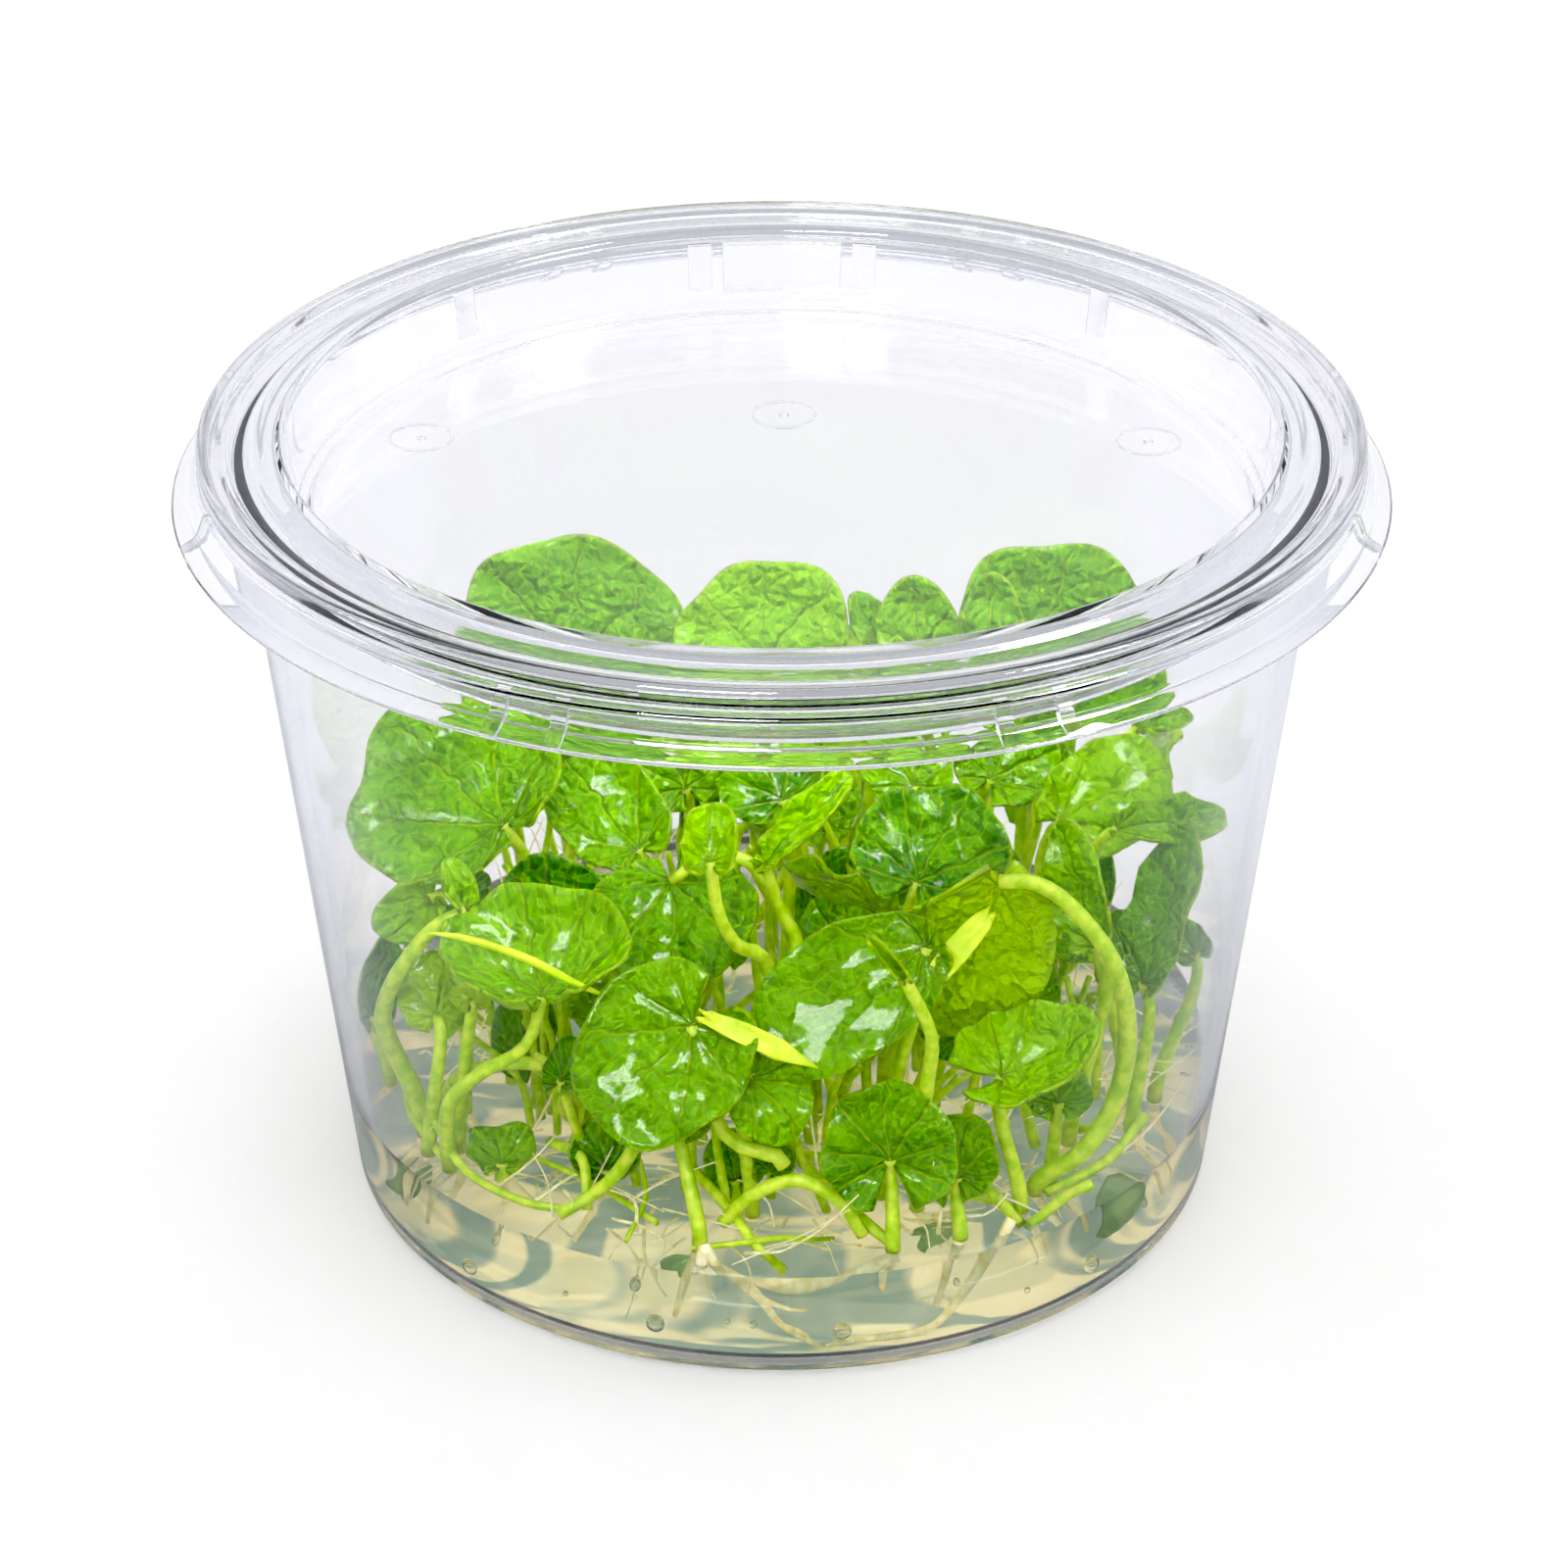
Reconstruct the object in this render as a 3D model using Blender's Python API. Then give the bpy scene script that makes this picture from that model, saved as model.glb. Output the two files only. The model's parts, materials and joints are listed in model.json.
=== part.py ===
"""Floating heart plants growing on clear gel in a round culture cup with a press-on lid.

The cup stands on z = 0 with its axis on the origin, and -Y is the front. All sizes are in
millimetres and become metres when a mesh is made.
"""
import math
from typing import NamedTuple

import bmesh
import bpy
from mathutils import Matrix, Vector
from mathutils.geometry import interpolate_bezier

MM = 0.001
GAP = 0.3                    # space left between pieces that touch
TURN_STEPS = 36              # flat sides of everything turned about the axis

# Cup
BASE_RADIUS = 38.8           # outside of the wall, carried down to z = 0
WALL_SLOPE = 0.1116          # outward lean of the wall, millimetres for each millimetre of height
WALL = 1.0
FLOOR = 1.3
CORNER = 1.5                 # round corner between the base and the wall
FLANGE_TOP = 69.3
RIM_TOP = 69.8
RIM_RADIUS = 47.1
SKIRT_TOP_RADIUS = 49.8
SKIRT_FOOT_RADIUS = 50.6
SKIRT_FOOT = 67.0            # height where the skirt turns out into its lip
LIP_RADIUS = 52.0
LIP_FOOT = 65.6
RIB_SIZE = (1.3, 1.3, 2.5)   # across, outward and upward
RIB_ANGLES = (19.0, 25.5, 53.0, 68.5, 77.5, 102.5, 111.5, 127.0, 154.5, 161.0)

# Lid
LID_TOP = 71.6
PANEL_TOP = 63.6
PANEL_RADIUS = 39.6
LID_WALL = 0.8
RECESS_TOP_RADIUS = 42.2
TROUGH = 70.8                # height of the groove between the two beads
LID_RADIUS = 49.6
LUG_SIZE = (1.1, 1.2, 4.0)
LUG_ANGLES = (101.5, 108.5, 118.5, 122.5, 143.5, 172.0)
TAB_SIZE = (12.6, 1.2, 5.0)  # grip plate at the back of the recess
VENT_PLACES = ((-31.8, 13.0), (0.2, 17.8), (32.3, 12.2))
VENT_RADIUS = 2.8
VENT_RISE = 0.3

# Gel
GEL_TOP = 10.5
GEL_CLIMB = 0.6              # how far the set gel stands up against the wall

# Leaves and stems
BLADE = 0.6                  # thickness of a blade at its middle
STEM_SIDES = 6
STEM_RINGS = 4               # along a stalk with no other point; two for each stretch between points
NOTCH_SIDE = 158.0           # angle from the tip to the edge of the heart notch
# Each blade ring: angle from the tip, and how far out its two middle points lie
BLADE_RINGS = ((NOTCH_SIDE, 0.14), (116.0, 0.45), (78.0, 0.5), (42.0, 0.6), (11.0, 0.93))

GREEN = (0.13, 0.42, 0.02)
YELLOW_GREEN = (0.42, 0.62, 0.03)
DARK_GREEN = (0.04, 0.2, 0.02)


class Leaf(NamedTuple):
    """A round blade and its stalk. The blade runs from the junction with the stalk to the tip."""
    name: str
    junction: tuple
    tip: tuple
    width: float
    face: tuple              # compass bearing and height in degrees that the upper side looks to
    foot: tuple              # where the stalk stands on the gel, or x, y and z on a runner
    via: tuple = ()          # points that the stalk passes through, from its foot up
    fold: float = 0.0        # degrees that each half is folded up about the midrib
    roll: float = 0.0        # degrees more at the edges
    cup: float = 0.0         # rise of the edge in millimetres
    back: float = 0.35       # reach of the lobes behind the junction, as a share of the length
    stem: float = 0.6        # radius of the stalk
    colour: tuple = GREEN


class Runner(NamedTuple):
    """A creeping stem that joins the plantlets."""
    name: str
    points: tuple
    radius: float


LEAVES = (
    Leaf("back_1", (-19.2, 13, 39.5), (-18.7, 17, 52), 19, (-90, 20), (-14, 15), cup=1.5),
    Leaf("back_2", (-1.5, 11, 41), (-2, 15, 50), 15.5, (-88, 25), (-1, 13), cup=2, colour=YELLOW_GREEN),
    Leaf("back_3", (12.5, 6, 44.5), (11.5, 8, 51.5), 7.5, (-95, 20), (10, 8), cup=0.8, back=0.4),
    Leaf("back_4", (24, 12, 40.5), (26, 16, 52), 17, (-85, 25), (22, 14), cup=1.5),
    Leaf("back_5", (19, 5, 45.3), (18.5, 7, 52.3), 5.5, (-100, 25), (17, 4), cup=0.6, back=0.4),
    Leaf("back_6", (9.5, 11, 43), (6, 12, 48), 4, (-80, 30), (7, 14), fold=25, back=0.3),
    Leaf("left_1", (-24, -12, 39), (-34, -4, 43.5), 21.5, (-70, 30), (-17, -6), cup=2, back=0.2),
    Leaf("left_2", (-24.5, 4, 34), (-28.5, 8, 42.5), 10.5, (-80, 30), (-23, 6), cup=1),
    Leaf("left_3", (-12.5, -10, 35.5), (-19, -4, 40.5), 9.5, (-75, 35), (-12, -8), cup=1, back=0.2),
    Leaf("left_4", (-20, -17.3, 28.8), (-20.5, -12.8, 36.5), 10.5, (-90, 40), (-18, -15), cup=1, back=0.2,
         colour=DARK_GREEN),
    Leaf("left_5", (-26.5, -21.5, 36), (-28.5, -20, 40.5), 4, (-60, 35), (-31, -17.5),
         via=((-33.8, -18.5, 21.5), (-33.8, -19.5, 25.5), (-32, -21.5, 30.5), (-29.3, -22, 34.5)),
         fold=45, back=0.1, stem=0.7, colour=YELLOW_GREEN),
    Leaf("left_6", (-30, -18, 35), (-33.5, -18, 31), 5, (-100, 30), (-28, -14), cup=0.8, back=0.3,
         colour=YELLOW_GREEN),
    Leaf("left_7", (-20, -27, 31), (-22, -19, 33), 15.5, (-90, 65), (-28.5, -23),
         via=((-28.3, -25, 18.5), (-25.7, -26.3, 22.5), (-21.5, -27, 26)),
         cup=4.5, back=0.5, colour=YELLOW_GREEN),
    Leaf("left_8", (-29.5, -20, 24.5), (-29, -16.5, 29), 6.5, (90, 40), (-30.5, -20.5), fold=10, back=0.3),
    Leaf("left_9", (-26, -23.5, 28.5), (-26.5, -22, 32), 4.5, (90, 30), (-28, -20), via=((-27.2, -21.2, 20),),
         fold=15, back=0.3),
    Leaf("left_10", (-36, -10, 18), (-35, -8, 25), 4, (-60, 20), (-35, -9.5), back=0.2, colour=DARK_GREEN),
    Leaf("centre_1", (-9.5, -14, 34.5), (-9, -23, 29), 14.5, (-95, 55), (3, -15),
         via=((1.2, -15, 28.3), (-1.3, -14.5, 34), (-3, -14, 36.5), (-6.5, -13.5, 36.5)), fold=15, back=0.25),
    Leaf("centre_2", (-6, -23.5, 42), (-6, -20, 45), 4.5, (-90, 60), (-0.8, -20.5),
         via=((-1, -21.5, 29.5), (-3.8, -22.8, 33.4), (-5.3, -23.3, 36.8)), cup=2, back=0.5, colour=YELLOW_GREEN),
    Leaf("centre_3", (-1.5, -17, 38), (6, -12, 44), 5, (-110, 35), (2.5, -18.5),
         via=((1.5, -17.5, 29), (0, -17, 33)), fold=50, back=0.1, colour=YELLOW_GREEN),
    Leaf("centre_4", (9, -14, 32), (0, -11, 34.5), 7.5, (90, 40), (9, -12), cup=0.5, back=0.2),
    Leaf("centre_5", (11.5, -19.4, 37.7), (15.5, -13.4, 41.7), 13.5, (-90, 50), (10, -17), cup=2, back=0.45),
    Leaf("centre_6", (12, -27.5, 36), (-2, -30.5, 28), 11.5, (-95, 40), (8.5, -27.5),
         via=((9.5, -27.3, 22), (11.3, -27, 30)), cup=0.5, back=0.1),
    Leaf("centre_7", (10, -35, 37.5), (7, -34, 41), 1.5, (-90, 30), (11.5, -29),
         via=((12, -31.5, 24), (12.3, -33.5, 31)), fold=60, back=0.1, colour=YELLOW_GREEN),
    Leaf("right_1", (18, -25, 41), (14, -25, 26), 13.5, (90, 0), (21.5, -26.5),
         via=((25.5, -27.3, 15.5), (28.3, -25.5, 20), (29, -25.7, 27), (27.5, -26.3, 34), (24, -26, 39), (21, -25.5, 41)),
         cup=0.5, back=0.1, stem=0.75, colour=YELLOW_GREEN),
    Leaf("right_2", (18.4, -29, 24.4), (26.1, -26.9, 26.7), 9, (-100, 62), (20.3, -29.3), cup=2.5, back=0.5),
    Leaf("right_3", (23.5, -25, 19), (23.5, -22, 21.5), 6, (-90, 50), (23, -25), back=0.4),
    Leaf("right_4", (26.5, -20, 31.5), (23.5, -14, 41), 5.5, (-120, 20), (25, -19), fold=15, back=0.1),
    Leaf("right_5", (31, -17, 26), (35, -11.5, 38), 6.5, (-130, 15), (30.5, -17), fold=20, back=0.1),
    Leaf("right_6", (36, -12, 26), (34.5, -10, 27.5), 3.5, (-90, 40), (33, -12), cup=0.8, back=0.4),
    Leaf("right_7", (24.5, -6, 36), (34.5, -2, 39.5), 9.5, (-85, 40), (25, -4), cup=0.5, back=0.2,
         colour=YELLOW_GREEN),
    Leaf("right_8", (29, -10.8, 38), (38.5, -7.8, 37), 5, (-80, 50), (30.5, -10.5), fold=35, back=0.1),
    Leaf("right_9", (31.5, 0, 42), (36.5, 2, 42.5), 2.5, (-90, 50), (30, 2), fold=20, back=0.1),
    Leaf("front_1", (9, -34.2, 19.2), (8.5, -31.7, 25.2), 11.5, (-92, 25), (9.3, -35.3), cup=0.6, back=0.68),
    Leaf("front_2", (14.7, -32, 16), (15.5, -30, 21.5), 6, (-80, 30), (15, -33.5), cup=0.6, back=0.4),
    Leaf("front_3", (-7.5, -31, 30.5), (-15, -34, 23), 15, (-95, 40), (0.2, -33.6, 18.2),
         via=((-4.8, -32.2, 20.5),), cup=1, back=0.42),
    Leaf("front_4", (-2.4, -33.2, 26.6), (1.6, -34.7, 22.1), 7, (-90, 40), (-2.5, -30), cup=0.6, back=0.3),
    Leaf("front_5", (-4, -28, 13), (-4.5, -26, 17), 5, (-90, 35), (-4, -28), cup=0.8, back=0.3),
    Leaf("front_6", (-15, -27, 13.5), (-15.5, -24, 16), 6, (-90, 45), (-15, -26), cup=0.8, back=0.3,
         colour=DARK_GREEN),
    Leaf("front_7", (-24, -24.5, 14.5), (-24.5, -20.5, 16), 5.5, (-80, 60), (-24, -24), cup=0.5, back=0.3),
    Leaf("front_8", (-9.5, -28, 23), (-12, -25.5, 27), 7, (-90, 40), (-6.8, -35),
         via=((-8.3, -31, 17.5),), back=0.3, colour=DARK_GREEN),
    Leaf("middle_1", (-8.5, -2, 37), (-11, 0, 42.5), 8, (-95, 40), (-9, 0), cup=0.8, back=0.3),
    Leaf("middle_2", (0, -4, 37), (-3, 0, 42), 9.5, (-90, 40), (0, -2), cup=0.8, back=0.3, colour=DARK_GREEN),
    Leaf("middle_3", (11.5, -5, 39), (9, 0, 44), 8.5, (-85, 40), (11, -3), cup=0.8, back=0.3),
    Leaf("middle_4", (18.5, -2, 38), (22, 2, 43.5), 9.5, (-80, 40), (18, 0), cup=0.8, back=0.3),
    Leaf("rear_1", (-22, 23, 27), (-27, 27, 35), 12, (120, 30), (-20, 22), cup=1),
    Leaf("rear_2", (-8, 27, 24), (-10, 32, 33), 13, (95, 30), (-8, 25), cup=1.2, colour=YELLOW_GREEN),
    Leaf("rear_3", (7, 25, 26.5), (8, 30, 35), 12, (85, 25), (7, 23), cup=1),
    Leaf("rear_4", (21, 23, 24), (25, 28, 33), 12, (50, 30), (20, 22), cup=1.2, colour=YELLOW_GREEN),
    Leaf("rear_5", (31, 12, 27), (35.5, 15, 35), 11, (20, 30), (29, 12), cup=1),
    Leaf("rear_6", (-33, 10, 24), (-36.5, 12, 32), 10, (165, 30), (-31, 11), cup=1, colour=DARK_GREEN),
    Leaf("rear_7", (0, 20, 37), (1, 25, 44), 12, (90, 50), (1, 19), cup=1),
)

RUNNERS = (
    Runner("runner_1", ((-5, -32.5, 11.7), (-2.5, -33.3, 15), (1.2, -33.8, 16.9), (4.8, -34, 15), (6.8, -34.3, 11.7)),
           0.6),
    Runner("runner_2", ((-30, -14, 11.8), (-27.5, -18, 17.5), (-22, -20, 19.8), (-16, -20, 18), (-12, -18, 11.8)),
           0.6),
    Runner("runner_3", ((-17, -29.5, 11.7), (-14, -30, 15), (-11, -28.5, 19.5), (-8.5, -24, 20.5), (-7, -20, 11.8)),
           0.6),
    Runner("runner_4", ((6, -24, 11.8), (10, -26, 14), (14, -28.5, 13), (18, -29, 11.8)), 0.65),
)


def wall_radius(height):
    """Outside radius of the cup's wall."""
    return BASE_RADIUS + WALL_SLOPE * height


def material(name, colour, roughness, alpha=1.0, transmission=0.0):
    made = bpy.data.materials.new(name)
    made.use_nodes = True
    shader = made.node_tree.nodes["Principled BSDF"]
    shader.inputs["Base Color"].default_value = (*colour, 1.0)
    shader.inputs["Roughness"].default_value = roughness
    shader.inputs["Metallic"].default_value = 0.0
    shader.inputs["Alpha"].default_value = alpha
    shader.inputs["Transmission Weight"].default_value = transmission
    return made


def finish(name, bm, finish_material):
    """Makes an object of a bmesh in millimetres."""
    bmesh.ops.recalc_face_normals(bm, faces=bm.faces)
    bmesh.ops.scale(bm, vec=(MM, MM, MM), verts=bm.verts)
    mesh = bpy.data.meshes.new(name)
    bm.to_mesh(mesh)
    bm.free()
    mesh.shade_smooth()
    mesh.set_sharp_from_angle(angle=math.radians(35))
    mesh.materials.append(finish_material)
    made = bpy.data.objects.new(name, mesh)
    bpy.context.scene.collection.objects.link(made)
    return made


def turned(section):
    """A bmesh of a section, given as radius and height from axis to axis, turned about the axis."""
    bm = bmesh.new()
    points = [bm.verts.new((radius, 0.0, height)) for radius, height in section]
    edges = [bm.edges.new(pair) for pair in zip(points, points[1:])]
    bmesh.ops.spin(bm, geom=points + edges, cent=(0, 0, 0), axis=(0, 0, 1), angle=math.tau,
                   steps=TURN_STEPS, use_merge=True)
    bmesh.ops.remove_doubles(bm, verts=bm.verts, dist=0.001)
    return bm


def block(size, radius, angle, height):
    """A block whose middle is at a radius, at an angle from the front."""
    bm = bmesh.new()
    bmesh.ops.create_cube(bm, size=1.0)
    bmesh.ops.scale(bm, vec=size, verts=bm.verts)
    bmesh.ops.translate(bm, vec=(0, -radius, height), verts=bm.verts)
    bmesh.ops.rotate(bm, cent=(0, 0, 0), matrix=Matrix.Rotation(math.radians(angle), 3, "Z"), verts=bm.verts)
    return bm


def join(body, pieces):
    """Unites scratch pieces with a body, and takes them away."""
    for piece in pieces:
        union = body.modifiers.new("join", "BOOLEAN")
        union.operation = "UNION"
        union.solver = "EXACT"
        union.object = piece
    evaluated = body.evaluated_get(bpy.context.evaluated_depsgraph_get())
    mesh = bpy.data.meshes.new_from_object(evaluated)
    body.modifiers.clear()
    old = body.data
    body.data = mesh
    bpy.data.meshes.remove(old)
    for piece in pieces:
        bpy.data.objects.remove(piece)


def both_sides(angles):
    return [side * angle for angle in angles for side in (-1, 1)]


def build_cup(plastic):
    flange_foot = FLANGE_TOP - WALL
    section = [
        (0.0, 0.0),
        (BASE_RADIUS - CORNER, 0.0),
        (BASE_RADIUS - 0.3 * CORNER, 0.3 * CORNER),
        (wall_radius(CORNER), CORNER),
        (wall_radius(flange_foot), flange_foot),
        (SKIRT_TOP_RADIUS - WALL, flange_foot),
        (SKIRT_FOOT_RADIUS - WALL, SKIRT_FOOT - 0.5),
        (LIP_RADIUS - 0.2, LIP_FOOT),
        (LIP_RADIUS, LIP_FOOT + 0.5),
        (SKIRT_FOOT_RADIUS, SKIRT_FOOT),
        (SKIRT_TOP_RADIUS, FLANGE_TOP),
        (RIM_RADIUS, FLANGE_TOP),
        (RIM_RADIUS - 0.2, RIM_TOP),
        (wall_radius(RIM_TOP) - WALL + 0.1, RIM_TOP),
        (wall_radius(flange_foot) - WALL, flange_foot),
        (wall_radius(FLOOR + CORNER) - WALL, FLOOR + CORNER),
        (wall_radius(FLOOR) - WALL - 0.7 * CORNER, FLOOR + 0.3 * CORNER),
        (BASE_RADIUS - WALL - 1.6 * CORNER, FLOOR),
        (0.0, FLOOR),
    ]
    cup = finish("cup", turned(section), plastic)
    rib_radius = SKIRT_TOP_RADIUS + 0.25
    rib_height = (SKIRT_FOOT + FLANGE_TOP) / 2 - 0.2
    ribs = [finish("rib", block(RIB_SIZE, rib_radius, angle, rib_height), plastic)
            for angle in both_sides(RIB_ANGLES)]
    join(cup, ribs)
    return cup


def build_lid(plastic):
    recess_foot = PANEL_TOP + LID_WALL
    panel_foot = PANEL_TOP - LID_WALL
    wall_foot = FLANGE_TOP + GAP
    section = [
        (0.0, PANEL_TOP),
        (PANEL_RADIUS, PANEL_TOP),
        (PANEL_RADIUS + 0.5, recess_foot),
        (PANEL_RADIUS + 1.7, recess_foot),
        (RECESS_TOP_RADIUS, LID_TOP - 0.5),
        (RECESS_TOP_RADIUS + 0.6, LID_TOP),
        (RECESS_TOP_RADIUS + 2.0, LID_TOP),
        (RECESS_TOP_RADIUS + 3.0, TROUGH),
        (LID_RADIUS - 2.6, TROUGH),
        (LID_RADIUS - 1.6, LID_TOP - 0.1),
        (LID_RADIUS - 0.6, LID_TOP - 0.1),
        (LID_RADIUS, LID_TOP - 0.6),
        (LID_RADIUS, wall_foot),
        (LID_RADIUS - LID_WALL, wall_foot),
        (LID_RADIUS - LID_WALL, LID_TOP - 0.9),
        (LID_RADIUS - 2.2, RIM_TOP + GAP),
        (RECESS_TOP_RADIUS + 2.6, RIM_TOP + GAP),
        (RECESS_TOP_RADIUS + LID_WALL, LID_TOP - 1.0),
        (PANEL_RADIUS + 2.3, PANEL_TOP),
        (PANEL_RADIUS + 1.2, PANEL_TOP),
        (PANEL_RADIUS + 0.4, panel_foot),
        (0.0, panel_foot),
    ]
    lid = finish("lid", turned(section), plastic)
    middle = (PANEL_TOP + LID_TOP) / 2
    lean = RECESS_TOP_RADIUS + LID_WALL + 0.1
    pieces = [finish("lug", block(LUG_SIZE, lean, angle, middle), plastic) for angle in both_sides(LUG_ANGLES)]
    pieces.append(finish("tab", block(TAB_SIZE, lean - 0.5, 180.0, middle - 0.6), plastic))
    for x, y in VENT_PLACES:
        bm = bmesh.new()
        bmesh.ops.create_cone(bm, cap_ends=True, segments=12, radius1=VENT_RADIUS, radius2=VENT_RADIUS,
                              depth=2 * VENT_RISE)
        bmesh.ops.translate(bm, vec=(x, y, PANEL_TOP), verts=bm.verts)
        pieces.append(finish("vent", bm, plastic))
    join(lid, pieces)
    return lid


def build_gel(jelly):
    foot = FLOOR + GAP
    clear = WALL + GAP
    section = [
        (0.0, foot),
        (BASE_RADIUS - WALL - 2.0 * CORNER, foot),
        (wall_radius(FLOOR + CORNER + GAP) - clear, FLOOR + CORNER + GAP),
        (wall_radius(GEL_TOP + GEL_CLIMB) - clear, GEL_TOP + GEL_CLIMB),
        (wall_radius(GEL_TOP) - clear - 1.2, GEL_TOP),
        (0.0, GEL_TOP),
    ]
    return finish("gel", turned(section), jelly)


def blade_frame(leaf):
    """The blade's directions: to its tip, to its right side and out of its upper side."""
    axis = (Vector(leaf.tip) - Vector(leaf.junction)).normalized()
    bearing, height = (math.radians(angle) for angle in leaf.face)
    face = Vector((math.cos(bearing) * math.cos(height), math.sin(bearing) * math.cos(height), math.sin(height)))
    normal = (face - face.dot(axis) * axis).normalized()
    return axis, axis.cross(normal), normal


def edge_distance(leaf, length, turn):
    """Distance from the junction to the blade's oval edge, at an angle from the tip."""
    half_length = length * (1 + leaf.back) / 2
    half_width = leaf.width / 2
    centre = length - half_length
    along, across = math.cos(turn) / half_length, math.sin(turn) / half_width
    a = along ** 2 + across ** 2
    b = -2 * along * centre / half_length
    c = (centre / half_length) ** 2 - 1
    return (-b + math.sqrt(b * b - 4 * a * c)) / (2 * a)


def blade_point(leaf, share, turn):
    """A point of the blade's middle surface: share 0 is the junction and 1 the edge."""
    axis, side, normal = blade_frame(leaf)
    length = (Vector(leaf.tip) - Vector(leaf.junction)).length
    reach = share * edge_distance(leaf, length, turn)
    along, across = reach * math.cos(turn), reach * math.sin(turn)
    start = math.radians(leaf.fold)
    bend = math.radians(leaf.roll) / (leaf.width / 2)
    distance = abs(across)
    if abs(bend) < 1e-6:
        out, rise = distance * math.cos(start), distance * math.sin(start)
    else:
        out = (math.sin(start + bend * distance) - math.sin(start)) / bend
        rise = (math.cos(start) - math.cos(start + bend * distance)) / bend
    rise += leaf.cup * share ** 2
    return Vector(leaf.junction) + axis * along + side * math.copysign(out, across) + normal * rise


def smooth_curve(points, first_slope, last_slope, steps):
    """Points on a smooth curve through the given ones, with its slopes at both ends."""
    slopes = [first_slope, *((after - before) / 2 for before, after in zip(points, points[2:])), last_slope]
    curve = []
    for (start, lean), (end, next_lean) in zip(zip(points, slopes), zip(points[1:], slopes[1:])):
        curve += interpolate_bezier(start, start + lean / 3, end - next_lean / 3, end, steps + 1)[:-1]
    return curve + [points[-1]]


def stalk_curve(leaf):
    """Points along the stalk, from its foot to the underside of the blade."""
    axis, _, normal = blade_frame(leaf)
    foot = Vector(leaf.foot if len(leaf.foot) == 3 else (*leaf.foot, GEL_TOP + GAP))
    junction = Vector(leaf.junction) - normal * BLADE
    points = [foot, *(Vector(point) for point in leaf.via), junction]
    first_slope = Vector((0, 0, (points[1] - foot).length))
    if leaf.via:
        return smooth_curve(points, first_slope, junction - points[-2], 2)
    arrive = (axis * 0.5 + normal).normalized()
    return smooth_curve(points, first_slope, arrive * (junction - foot).length, STEM_RINGS)


def ring_about(centre, direction, side, radius):
    """Six points around a stalk, from its left round over the top."""
    right = (side - side.dot(direction) * direction).normalized()
    up = right.cross(direction)
    angles = [math.pi - i * math.tau / STEM_SIDES for i in range(STEM_SIDES)]
    return [centre + radius * (math.cos(a) * right + math.sin(a) * up) for a in angles]


def loft(rings):
    """A closed skin over rings of points."""
    bm = bmesh.new()
    before = None
    for ring in rings:
        verts = [bm.verts.new(point) for point in ring]
        if before is None:
            bm.faces.new(verts)
        else:
            for i in range(len(verts)):
                j = (i + 1) % len(verts)
                bm.faces.new((before[i], before[j], verts[j], verts[i]))
        before = verts
    bm.faces.new(reversed(before))
    return bm


def tube_rings(curve, side, start_radius, end_radius):
    """Level rings at a curve's first point, and square to the curve about its others."""
    rings = []
    for i, point in enumerate(curve):
        ahead = curve[min(i + 1, len(curve) - 1)] - curve[i - 1] if i else Vector((0, 0, 1))
        radius = start_radius + (end_radius - start_radius) * i / (len(curve) - 1)
        rings.append(ring_about(point, ahead.normalized(), side, radius))
    return rings


def build_leaf(leaf, green):
    _, side, normal = blade_frame(leaf)
    rings = tube_rings(stalk_curve(leaf), side, leaf.stem * 1.15, leaf.stem * 0.85)[:-1]
    half = normal * BLADE / 2
    for degrees, middle in BLADE_RINGS:
        turn = math.radians(degrees)
        left, right = blade_point(leaf, 1.0, -turn), blade_point(leaf, 1.0, turn)
        mid_left, mid_right = blade_point(leaf, middle, -turn), blade_point(leaf, middle, turn)
        rings.append([left, mid_left + half, mid_right + half, right, mid_right - half, mid_left - half])
    return finish("leaf_" + leaf.name, loft(rings), green)


def build_runner(runner, green):
    points = [Vector(point) for point in runner.points]
    curve = smooth_curve(points, points[1] - points[0], points[-1] - points[-2], 2)
    side = (points[-1] - points[0]).cross(Vector((0, 0, 1)))
    return finish(runner.name, loft(tube_rings(curve, side, runner.radius, runner.radius)), green)


def main():
    for old in list(bpy.data.objects):
        bpy.data.objects.remove(old, do_unlink=True)
    plastic = material("clear_plastic", (0.93, 0.94, 0.98), 0.05, alpha=0.4, transmission=1.0)
    jelly = material("gel", (0.85, 0.82, 0.62), 0.1, alpha=0.6, transmission=0.9)
    build_cup(plastic)
    build_lid(plastic)
    build_gel(jelly)
    greens = {}
    for leaf in LEAVES:
        if leaf.colour not in greens:
            greens[leaf.colour] = material(f"leaf_green_{len(greens) + 1}", leaf.colour, 0.3)
        build_leaf(leaf, greens[leaf.colour])
    for runner in RUNNERS:
        build_runner(runner, greens[GREEN])


main()
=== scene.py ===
# %% [markdown]
# # Floating heart on gel in a clear culture cup
#
# Young floating heart plants are grown in the lab in a clear cup. A layer of pale gel feeds them,
# and a press-on lid keeps them clean and damp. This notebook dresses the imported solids: a smooth cup
# and lid, gel with roots and bubbles in it, and a crowd of glossy heart-shaped leaves.

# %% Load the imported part
import json
import math
import random
from typing import NamedTuple

import bmesh
import bpy
from mathutils import Matrix, Vector, noise
from mathutils.geometry import interpolate_bezier

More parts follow.
